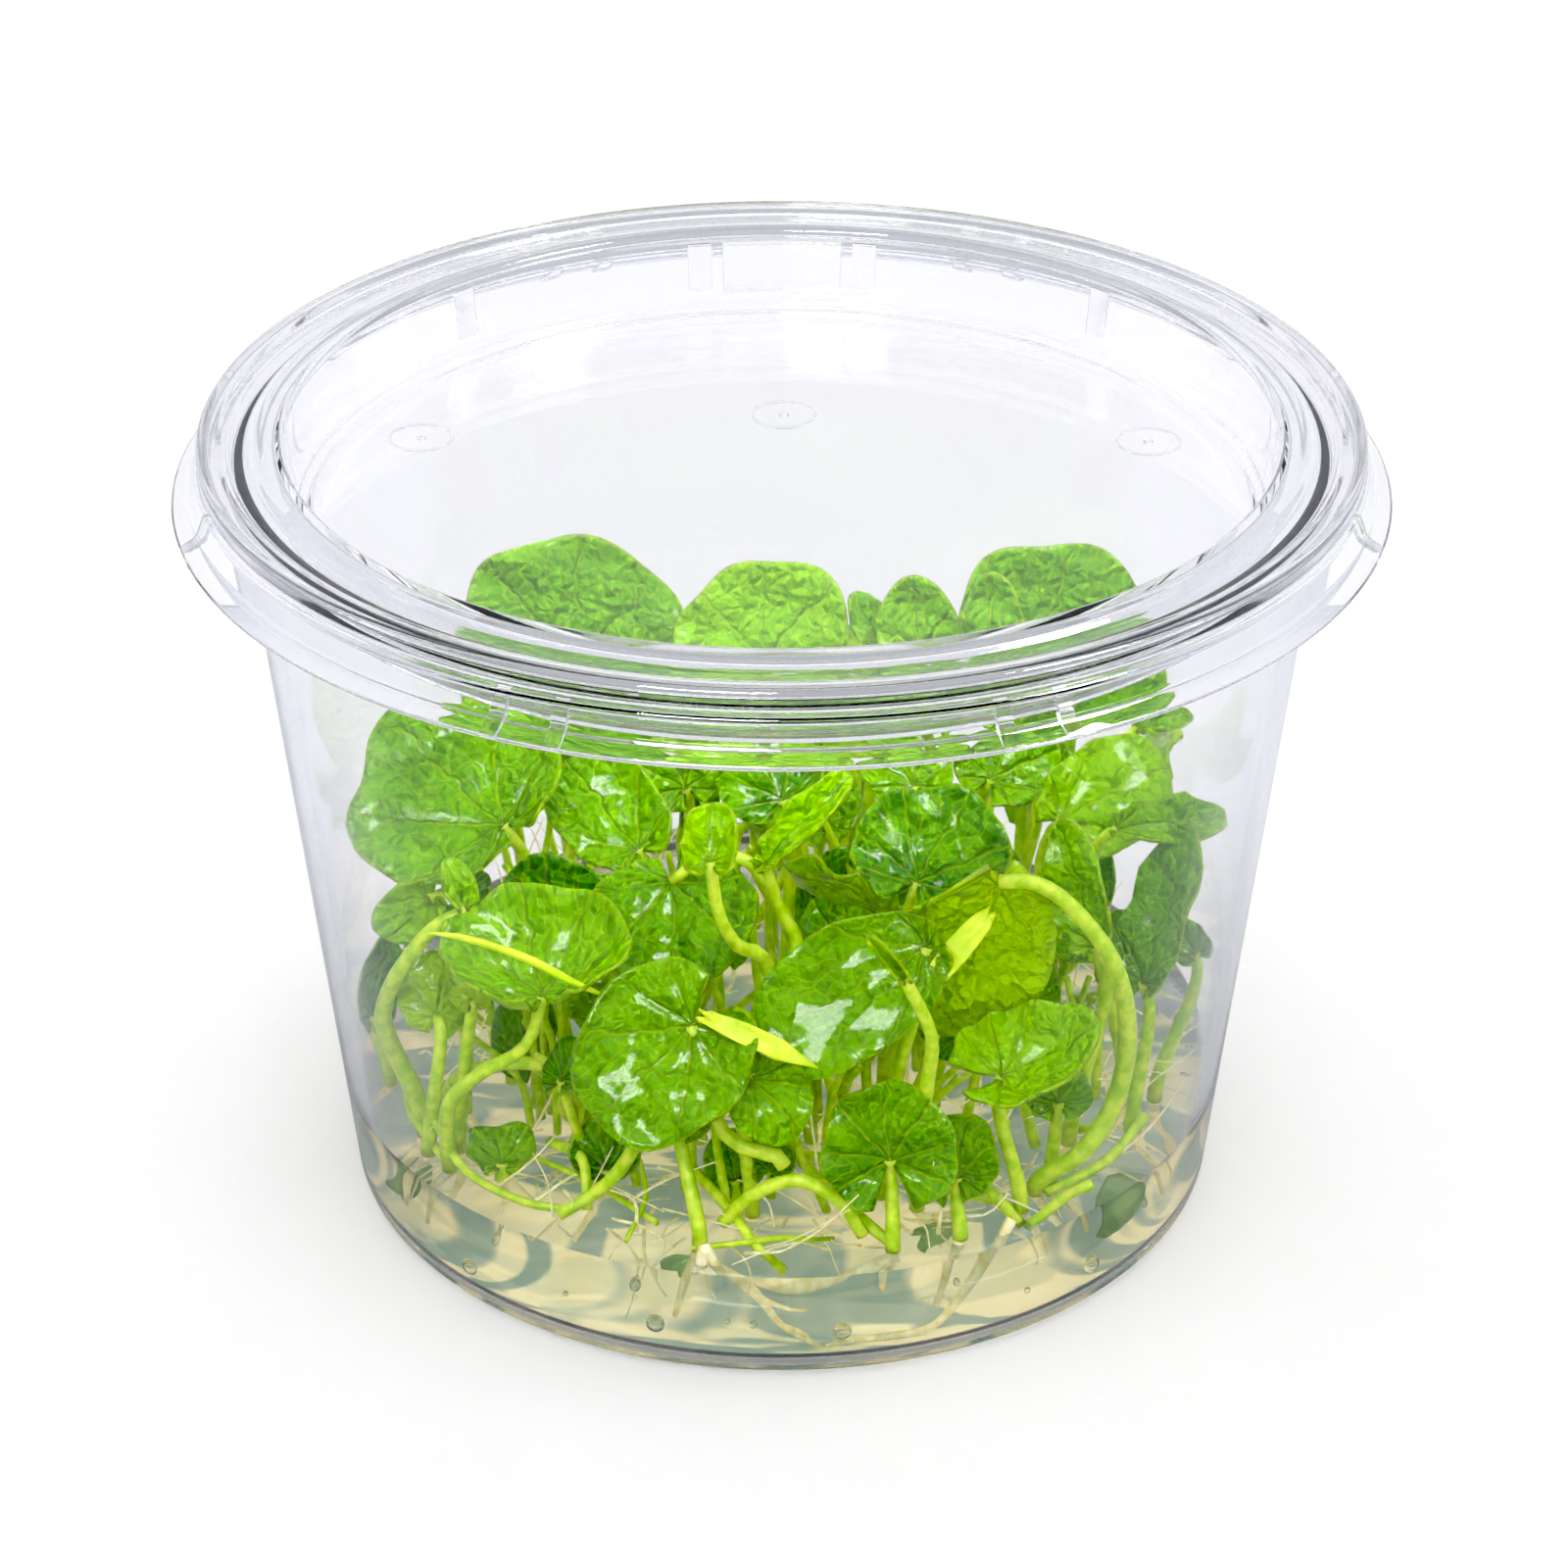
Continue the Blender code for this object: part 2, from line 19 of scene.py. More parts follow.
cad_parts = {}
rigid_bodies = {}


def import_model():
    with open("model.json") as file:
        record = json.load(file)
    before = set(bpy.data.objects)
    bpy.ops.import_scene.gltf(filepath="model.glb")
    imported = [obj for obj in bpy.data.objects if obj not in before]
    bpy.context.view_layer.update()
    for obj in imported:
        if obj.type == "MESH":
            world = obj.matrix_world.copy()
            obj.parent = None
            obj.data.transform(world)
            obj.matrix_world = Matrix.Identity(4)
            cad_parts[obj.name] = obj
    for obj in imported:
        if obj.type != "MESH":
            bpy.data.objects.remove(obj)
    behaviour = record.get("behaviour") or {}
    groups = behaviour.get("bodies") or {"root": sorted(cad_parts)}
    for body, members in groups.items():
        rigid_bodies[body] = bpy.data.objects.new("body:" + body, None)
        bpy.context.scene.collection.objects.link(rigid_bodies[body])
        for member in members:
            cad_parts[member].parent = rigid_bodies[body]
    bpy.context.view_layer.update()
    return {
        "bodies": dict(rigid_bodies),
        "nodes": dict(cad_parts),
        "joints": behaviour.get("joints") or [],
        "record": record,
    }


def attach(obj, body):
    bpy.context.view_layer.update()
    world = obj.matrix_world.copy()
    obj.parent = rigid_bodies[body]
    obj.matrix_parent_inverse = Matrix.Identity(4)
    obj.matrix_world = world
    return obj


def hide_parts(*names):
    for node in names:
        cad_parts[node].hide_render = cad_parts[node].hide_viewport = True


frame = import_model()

# %% [markdown]
# ## Units and finished pieces
#
# The cup is only 10 cm wide, so every shape is drawn in millimetres and scaled to metres at the end.
# A finished piece keeps its place in its mesh, and its object stays at the origin.

# %% Make a finished piece from a bmesh
MM = 0.001
SCENE = bpy.context.scene


def linear(hex_colour):
    """Turns an sRGB hex colour into the linear values that a shader reads."""
    parts = [int(hex_colour[i:i + 2], 16) / 255 for i in (1, 3, 5)]
    return (*(c / 12.92 if c <= 0.04045 else ((c + 0.055) / 1.055) ** 2.4 for c in parts), 1.0)


def piece(name, bm, materials, *nodes, slot=None, sharp=None):
    """Makes an object of a bmesh in millimetres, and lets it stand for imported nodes."""
    bmesh.ops.scale(bm, vec=(MM, MM, MM), verts=bm.verts)
    mesh = bpy.data.meshes.new(name)
    bm.to_mesh(mesh)
    bm.free()
    mesh.shade_smooth()
    if sharp:
        mesh.set_sharp_from_angle(angle=math.radians(sharp))
    for finish in materials:
        mesh.materials.append(finish)
    made = bpy.data.objects.new(name, mesh)
    SCENE.collection.objects.link(made)
    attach(made, "root")
    if nodes:
        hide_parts(*nodes)


def absorb(bm, part):
    """Moves a small bmesh into a bigger one. Tools run much faster on a small bmesh."""
    spare = bpy.data.meshes.new("spare")
    part.to_mesh(spare)
    part.free()
    bm.from_mesh(spare)
    bpy.data.meshes.remove(spare)


# %% [markdown]
# ## Building materials from nodes
#
# Every finish is one Principled shader, with a few nodes before it for its pattern. One helper adds
# a node, sets its inputs and its options, and links other nodes' outputs to it.

# %% Add nodes
def feed(node, inputs):
    """Sets a node's inputs. A value is a number, a colour, an output, or a node for its output in use."""
    for name, value in inputs.items():
        if isinstance(value, bpy.types.Node):
            value = next(socket for socket in value.outputs if socket.enabled)
        if isinstance(value, bpy.types.NodeSocket):
            node.id_data.links.new(value, node.inputs[name])
        else:
            node.inputs[name].default_value = value


def add(tree, kind, inputs=None, **options):
    """Adds a node with its options and inputs."""
    node = tree.nodes.new("ShaderNode" + kind)
    for option, value in options.items():
        setattr(node, option, value)
    feed(node, inputs or {})
    return node


def new_material(name):
    """A new material, its node tree and its shader."""
    made = bpy.data.materials.new(name)
    made.use_nodes = True
    return made, made.node_tree, made.node_tree.nodes["Principled BSDF"]


# %% [markdown]
# ## Clear plastic
#
# The cup and the lid are moulded of clear polypropylene. It lets nearly all light through, and bends
# it by an index of refraction of 1.49. It is faintly violet where light crosses many of its surfaces.

# %% Clear moulded plastic
PLASTIC, _, plastic_shader = new_material("clear_moulded_polypropylene")
feed(plastic_shader, {"Base Color": linear("#FDFDFF"), "Roughness": 0.02, "IOR": 1.49,
                      "Transmission Weight": 1.0})

# %% [markdown]
# ## The cup
#
# The cup is turned: its section is drawn once, from the middle of its underside round the lip and
# back to the middle of its floor, its corners are rounded, and the section is spun about the axis.
# The skirt that guards the lid's edge, and its flat lip, belong to the same section.

# %% Values of the cup, in millimetres
BASE_RADIUS = 38.8
WALL_SLOPE = 0.1116
WALL = 1.0
FLOOR = 1.3
FLANGE_TOP = 69.3
RIM_TOP = 69.8
RIM_RADIUS = 47.1
SKIRT_TOP_RADIUS = 49.8
SKIRT_FOOT_RADIUS = 50.6
SKIRT_FOOT = 67.0
LIP_RADIUS = 52.0
LIP_FOOT = 65.6
FLOOR_RISE = 0.9       # height of the floor's underside inside the foot ring
RING_WIDTH = 2.9
TURN_STEPS = 240


def wall_radius(height):
    """Outside radius of the cup's wall."""
    return BASE_RADIUS + WALL_SLOPE * height


# %% Spin a section with rounded corners
def spin_round(bm, geom, centre, steps):
    """Spins edges a full turn about an upright axis and closes the seam."""
    bmesh.ops.spin(bm, geom=geom, cent=centre, axis=(0, 0, 1), angle=math.tau, steps=steps, use_merge=True)
    bmesh.ops.remove_doubles(bm, verts=bm.verts, dist=0.0005)
    bmesh.ops.recalc_face_normals(bm, faces=bm.faces)


def turned(section):
    """Spins a section, given as radius, height and corner radius, from axis to axis."""
    bm = bmesh.new()
    points = [bm.verts.new((radius, 0.0, height)) for radius, height, _ in section]
    for pair in zip(points, points[1:]):
        bm.edges.new(pair)
    for point, (_, _, corner) in zip(points, section):
        if corner:
            bmesh.ops.bevel(bm, geom=[point], offset=corner, segments=4, profile=0.5, affect="VERTICES",
                            material=-1)
    spin_round(bm, bm.verts[:] + bm.edges[:], (0, 0, 0), TURN_STEPS)
    return bm


# %% Turn the cup
flange_foot = FLANGE_TOP - WALL
cup_section = [
    (0.0, FLOOR_RISE, 0.0),
    (BASE_RADIUS - RING_WIDTH - 0.5, FLOOR_RISE, 0.4),
    (BASE_RADIUS - RING_WIDTH, 0.0, 0.4),
    (BASE_RADIUS, 0.0, 1.0),
    (wall_radius(flange_foot), flange_foot, 0.3),
    (SKIRT_TOP_RADIUS - WALL, flange_foot, 0.2),
    (SKIRT_FOOT_RADIUS - WALL, SKIRT_FOOT - 0.4, 0.3),
    (LIP_RADIUS - 0.4, LIP_FOOT, 0.25),
    (LIP_RADIUS, LIP_FOOT + 0.55, 0.2),
    (SKIRT_FOOT_RADIUS, SKIRT_FOOT, 0.4),
    (SKIRT_TOP_RADIUS, FLANGE_TOP, 0.3),
    (RIM_RADIUS, FLANGE_TOP, 0.1),
    (RIM_RADIUS, RIM_TOP, 0.15),
    (wall_radius(RIM_TOP) - WALL, RIM_TOP, 0.2),
    (wall_radius(FLOOR) - WALL, FLOOR, 1.5),
    (0.0, FLOOR, 0.0),
]
cup_mesh = turned(cup_section)

# %% [markdown]
# Short ribs stiffen the skirt. Each is a narrow strip of the skirt's inner face, pulled in toward the
# wall.

# %% Raise ribs on the skirt
RIB_ANGLES = (16, 64, 70.3, 109.7, 116, 164)
RIB_ARC, RIB_DEPTH = 0.8, 0.7  # half the width in degrees, and millimetres


def raised(bm, bearing, arc, low, high, near, depth):
    """Pulls in the inward faces of a turned wall, up to an arc from a bearing and between two heights."""
    pull = Vector((math.cos(math.radians(bearing)), math.sin(math.radians(bearing)), 0))
    chosen = []
    for face in bm.faces:
        middle = face.calc_center_median()
        outward = Vector((middle.x, middle.y, 0))
        if low < middle.z < high and abs(outward.length - near) < 2 and face.normal.dot(outward) < 0:
            if math.degrees(outward.angle(pull)) <= arc:
                chosen.append(face)
    grown = bmesh.ops.extrude_face_region(bm, geom=chosen)["geom"]
    moved = [part for part in grown if isinstance(part, bmesh.types.BMVert)]
    bmesh.ops.translate(bm, vec=-pull * depth, verts=moved)


for side in (1, -1):
    for angle in RIB_ANGLES:
        raised(cup_mesh, side * angle, RIB_ARC, LIP_FOOT, flange_foot - 0.2, SKIRT_FOOT_RADIUS - 0.5,
               RIB_DEPTH)
print("cup faces", len(cup_mesh.faces))
piece("clear_cup", cup_mesh, [PLASTIC], "cup", slot="cup_plastic", sharp=40)

# %% Values of the lid, in millimetres
LID_TOP = 71.6
PANEL_TOP = 63.6
PANEL_RADIUS = 39.6
LID_WALL = 0.8
RECESS_TOP_RADIUS = 42.2
TROUGH = 70.8
LID_RADIUS = 49.6
BEAD = 0.9             # height of a bead above the trough's underside
RECESS_RINGS = (66.0, 67.6, 70.4)
GAP = 0.3

# %% Turn the lid
recess_foot = PANEL_TOP + LID_WALL
panel_foot = PANEL_TOP - LID_WALL
recess_radius = PANEL_RADIUS + 1.7
recess_lean = (RECESS_TOP_RADIUS - recess_radius) / (LID_TOP - recess_foot)
bead_foot = LID_TOP - BEAD
lid_section = [
    (0.0, PANEL_TOP, 0.0),
    (PANEL_RADIUS, PANEL_TOP, 0.2),
    (PANEL_RADIUS + 0.5, recess_foot, 0.3),
    (recess_radius, recess_foot, 0.4),
    *((recess_radius + recess_lean * (height - recess_foot), height, 0.0) for height in RECESS_RINGS),
    (RECESS_TOP_RADIUS, LID_TOP, 0.5),
    (RECESS_TOP_RADIUS + 2.3, LID_TOP, 0.5),
    (RECESS_TOP_RADIUS + 3.0, TROUGH, 0.3),
    (LID_RADIUS - 2.6, TROUGH, 0.3),
    (LID_RADIUS - 1.9, LID_TOP - 0.1, 0.3),
    (LID_RADIUS, LID_TOP - 0.1, 0.5),
    (LID_RADIUS, FLANGE_TOP + GAP, 0.2),
    (LID_RADIUS - LID_WALL, FLANGE_TOP + GAP, 0.2),
    (LID_RADIUS - LID_WALL, bead_foot, 0.3),
    (LID_RADIUS - 1.7, bead_foot, 0.1),
    (LID_RADIUS - 2.4, RIM_TOP + GAP, 0.2),
    (RECESS_TOP_RADIUS + 2.6, RIM_TOP + GAP, 0.2),
    (RECESS_TOP_RADIUS + 1.7, bead_foot, 0.2),
    (RECESS_TOP_RADIUS + LID_WALL, bead_foot, 0.3),
    (PANEL_RADIUS + 2.4, PANEL_TOP, 0.3),
    (PANEL_RADIUS + 1.2, PANEL_TOP, 0.3),
    (PANEL_RADIUS + 0.4, panel_foot, 0.2),
    (0.0, panel_foot, 0.0),
]
lid_mesh = turned(lid_section)

# %% [markdown]
# Small lugs in the lid's recess keep stacked lids apart, and a plate at the back is there to lift it by.
# Three round vent marks are moulded in the panel, each a thin ring with a dot in its middle.

# %% Lugs, grip plate and vent marks
LUG_ANGLES = (100.6, 134)
LUG_ARC, LUG_DEPTH = 1.3, 0.12
PLATE_ARC, PLATE_DEPTH = 7.5, 1.0
VENT_PLACES = ((-31.8, 13.0), (0.2, 17.8), (32.3, 12.2))
VENT_RADIUS, DOT_RADIUS = 2.8, 0.35
MARK_RADIUS = 0.12     # of the line that a mark is drawn with


def hoop(whole, centre, radius, thickness):
    """A thin ring that lies flat."""
    bm = bmesh.new()
    start = Vector(centre) + Vector((radius, 0, 0))
    place = Matrix.Translation(start) @ Matrix.Rotation(math.pi / 2, 4, "X")
    bmesh.ops.create_circle(bm, segments=8, radius=thickness, matrix=place)
    spin_round(bm, bm.verts[:] + bm.edges[:], centre, 40)
    absorb(whole, bm)


low, high = RECESS_RINGS[0], RECESS_RINGS[-1]
for side in (1, -1):
    for angle in LUG_ANGLES:
        bearing = 90 + side * (angle - 90)
        raised(lid_mesh, bearing, LUG_ARC, low, high, RECESS_TOP_RADIUS, LUG_DEPTH)
raised(lid_mesh, 90, PLATE_ARC, low, high, RECESS_TOP_RADIUS, PLATE_DEPTH)
bmesh.ops.recalc_face_normals(lid_mesh, faces=lid_mesh.faces)
for x, y in VENT_PLACES:
    for radius in (VENT_RADIUS, DOT_RADIUS):
        hoop(lid_mesh, (x, y, PANEL_TOP + 0.16), radius, MARK_RADIUS)
piece("clear_lid", lid_mesh, [PLASTIC], "lid", slot="lid_plastic", sharp=40)

# %% [markdown]
# ## The gel
#
# The gel was poured warm and has set against the cup, so there is no air between them. Its side
# therefore lies just inside the plastic. It is mostly water, with an index of 1.33, and has a straw tint.

# %% Clear set gel
GEL_TOP = 10.5


def clear_gel():
    made, tree, shader = new_material("set_agar_gel")
    place = add(tree, "TexCoord").outputs["Object"]
    squashed = add(tree, "VectorMath", {0: place, 1: (0.7, 1.4, 2.6)}, operation="MULTIPLY")
    # The blue-grey and cream patches of the base colour are partly the gel's clouding, and partly painted
    # light and a painted reflection of the dark plants.
    flow = add(tree, "TexNoise", {"Vector": squashed, "Scale": 62.0, "Detail": 1.5, "Roughness": 0.45,
                                  "Distortion": 1.6})
    patch = add(tree, "MapRange", {"Value": flow, "From Min": 0.44, "From Max": 0.56},
                interpolation_type="SMOOTHSTEP")
    colour = add(tree, "Mix", {0: patch, 6: linear("#D4E0DC"), 7: linear("#FFFDF2")}, data_type="RGBA")
    tint = add(tree, "VolumeAbsorption", {"Color": linear("#F0E6B8"), "Density": 9.0})
    feed(shader, {"Base Color": colour, "Roughness": 0.0, "IOR": 1.33, "Transmission Weight": 1.0})
    feed(tree.nodes["Material Output"], {"Volume": tint})
    return made


OVERLAP = 0.1  # how far the gel reaches into the plastic
gel_wall = wall_radius(GEL_TOP) - WALL
gel_section = [
    (0.0, FLOOR - OVERLAP, 0.0),
    (wall_radius(FLOOR) - WALL + OVERLAP, FLOOR - OVERLAP, 1.4),
    (gel_wall + OVERLAP, GEL_TOP, 0.0),
    *((float(radius), GEL_TOP, 0.0) for radius in range(int(gel_wall) - 3, 0, -1)),
    (0.0, GEL_TOP, 0.0),
]
gel_mesh = turned(gel_section)

# %% [markdown]
# The gel's top isn't quite flat: it is wavy, and it has crept a little way up each thick stalk.

# %% Waves and rises in the gel's top
CREEPS = ((-6.8, -35), (9.3, -34.6), (21.5, -26.5), (20.3, -29.3), (-17, -29.5), (-28.5, -23), (6.8, -33.9),
          (-5, -32.5), (-28, -14), (30.5, -17), (-30, -16), (3, -15), (10, -17), (8.5, -27.5))
CREEP_HEIGHT, CREEP_WIDTH = 0.8, 1.5
GEL_WAVE, GEL_WAVE_SCALE = 0.55, 0.16
for vert in gel_mesh.verts:
    if abs(vert.co.z - GEL_TOP) < 0.01:
        calm = max(0, min(1, (gel_wall - 1.4 - math.hypot(vert.co.x, vert.co.y)) / 3))
        rise = GEL_WAVE * calm * noise.noise(Vector((vert.co.x, vert.co.y, 0)) * GEL_WAVE_SCALE)
        for x, y in CREEPS:
            away = math.hypot(vert.co.x - x, vert.co.y - y)
            rise += calm * CREEP_HEIGHT * math.exp(-(away / CREEP_WIDTH) ** 2)
        vert.co.z += rise

# %% [markdown]
# Air was caught in the gel while it set. A bubble is a hole in the gel, so its faces look inward.

# %% Bubbles
BUBBLES = (
    ((-10.5, -35, 3.4), 0.85), ((5, -36.2, 3.4), 0.85), ((-26.2, -25.2, 2.6), 0.8),
    ((26, -25.4, 3), 0.8), ((-31.9, -18.2, 4.9), 0.45), ((-12.2, -34.7, 6.5), 0.5),
    ((-24, -27.5, 6), 0.35), ((14.5, -33, 5.6), 0.3), ((20.5, -30, 3.4), 0.3),
    ((-4.5, -36, 4.2), 0.25), ((30.5, -20, 5.2), 0.4), ((-18, -31.5, 4), 0.25),
)
LOOSE_BUBBLES = 34
FLATNESS = 0.85
draw = random.Random(11).uniform
loose = []
for _ in range(LOOSE_BUBBLES):
    bearing, out = draw(0, math.tau), draw(12, 37)
    spot = (out * math.cos(bearing), out * math.sin(bearing), draw(2.4, 8.5))
    loose.append((spot, draw(0.12, 0.35)))
before = set(gel_mesh.faces)
for centre, radius in (*BUBBLES, *loose):
    bmesh.ops.create_icosphere(gel_mesh, subdivisions=3 if radius > 0.4 else 2, radius=radius,
                               matrix=Matrix.Translation(centre) @ Matrix.Diagonal((1, 1, FLATNESS, 1)))
bmesh.ops.reverse_faces(gel_mesh, faces=[face for face in gel_mesh.faces if face not in before])
piece("set_gel", gel_mesh, [clear_gel()], "gel", slot="gel")

# %% [markdown]
# Near the floor the gel shows flowing cream patches, with blue-grey clear zones between
# them. A thin cloudy sheet under the clear gel carries them: the cream is partly the gel's clouding and
# partly painted light shining through it, and the blue-grey is a painted reflection of the dark plants. It
# glows a little with its own colours, in place of the light that scatters in real cloudy gel.

# %% Cloudy sheet with painted light on the cup's floor
def cloudy_gel():
    made, tree, shader = new_material("cloudy_gel_with_painted_light")
    place = add(tree, "TexCoord").outputs["Object"]
    stretched = add(tree, "VectorMath", {0: place, 1: (0.6, 1.6, 1.0)}, operation="MULTIPLY")
    flow = add(tree, "TexNoise", {"Vector": stretched, "Scale": 75.0, "Detail": 1.5, "Roughness": 0.45,
                                  "Distortion": 1.6})
    patch = add(tree, "MapRange", {"Value": flow, "From Min": 0.46, "From Max": 0.56},
                interpolation_type="SMOOTHSTEP")
    streak = add(tree, "TexNoise", {"Vector": place, "Scale": 180.0, "Detail": 3.0, "Distortion": 0.8})
    # The cream is the gel's clouding with painted light through it; the blue-grey is a painted reflection of
    # the dark plants.
    cream = add(tree, "Mix", {0: streak, 6: linear("#F6E6B0"), 7: linear("#FFF8DC")}, data_type="RGBA")
    clear = add(tree, "Mix", {0: streak, 6: linear("#8FA498"), 7: linear("#BCC8B8")}, data_type="RGBA")
    colour = add(tree, "Mix", {0: patch, 6: clear, 7: cream}, data_type="RGBA")
    feed(shader, {"Base Color": colour, "Roughness": 0.9, "Specular IOR Level": 0.0,
                  "Emission Color": colour, "Emission Strength": 0.4})
    return made


cloud_radius = wall_radius(FLOOR) - WALL - 0.9
cloud_foot, cloud_top = FLOOR + 0.05, FLOOR + 0.2
cloud_mesh = turned([(0.0, cloud_top, 0.0), (cloud_radius, cloud_top, 0.0), (cloud_radius, cloud_foot, 0.0),
                     (0.0, cloud_foot, 0.0)])
piece("cloudy_gel_and_painted_light_sheet", cloud_mesh, [cloudy_gel()], slot="gel")

# %% [markdown]
# ## Leaves
#
# A floating heart leaf is a round blade with a narrow notch, where its stalk joins it. All leaves
# share one recipe: a flat grid is wrapped round the junction like a fan, given the leaf's own
# outline, fold and waves, and thickened. Each front leaf's place, tip, width and lie were read from the
# photograph. The rear ones, which it hides, are guessed.

# %% The list of leaves, in millimetres and degrees
class Leaf(NamedTuple):
    """A round blade and its stalk. The blade runs from the junction with the stalk to the tip."""
    name: str
    junction: tuple
    tip: tuple
    width: float
    face: tuple              # compass bearing and height in degrees that the upper side looks to
    foot: tuple = (0, 0)     # where the stalk stands on the gel, or x, y and z on a runner
    via: tuple = ()          # points that the stalk passes through, from its foot up
    fold: float = 0.0        # degrees that each half is folded up about the midrib
    cup: float = 0.0         # rise of the edge
    back: float = 0.35       # reach of the lobes behind the junction, as a share of the length
    stem: float = 0.6        # radius of the stalk
    youth: float = 0.35      # 0 is an old dark blade and 1 a young yellow one
    wave: float = 0.5        # height of the waves along the edge
    curls: tuple = ()        # rolled edges: bearing from the tip, distance, degrees, and -1 or 1 for one side


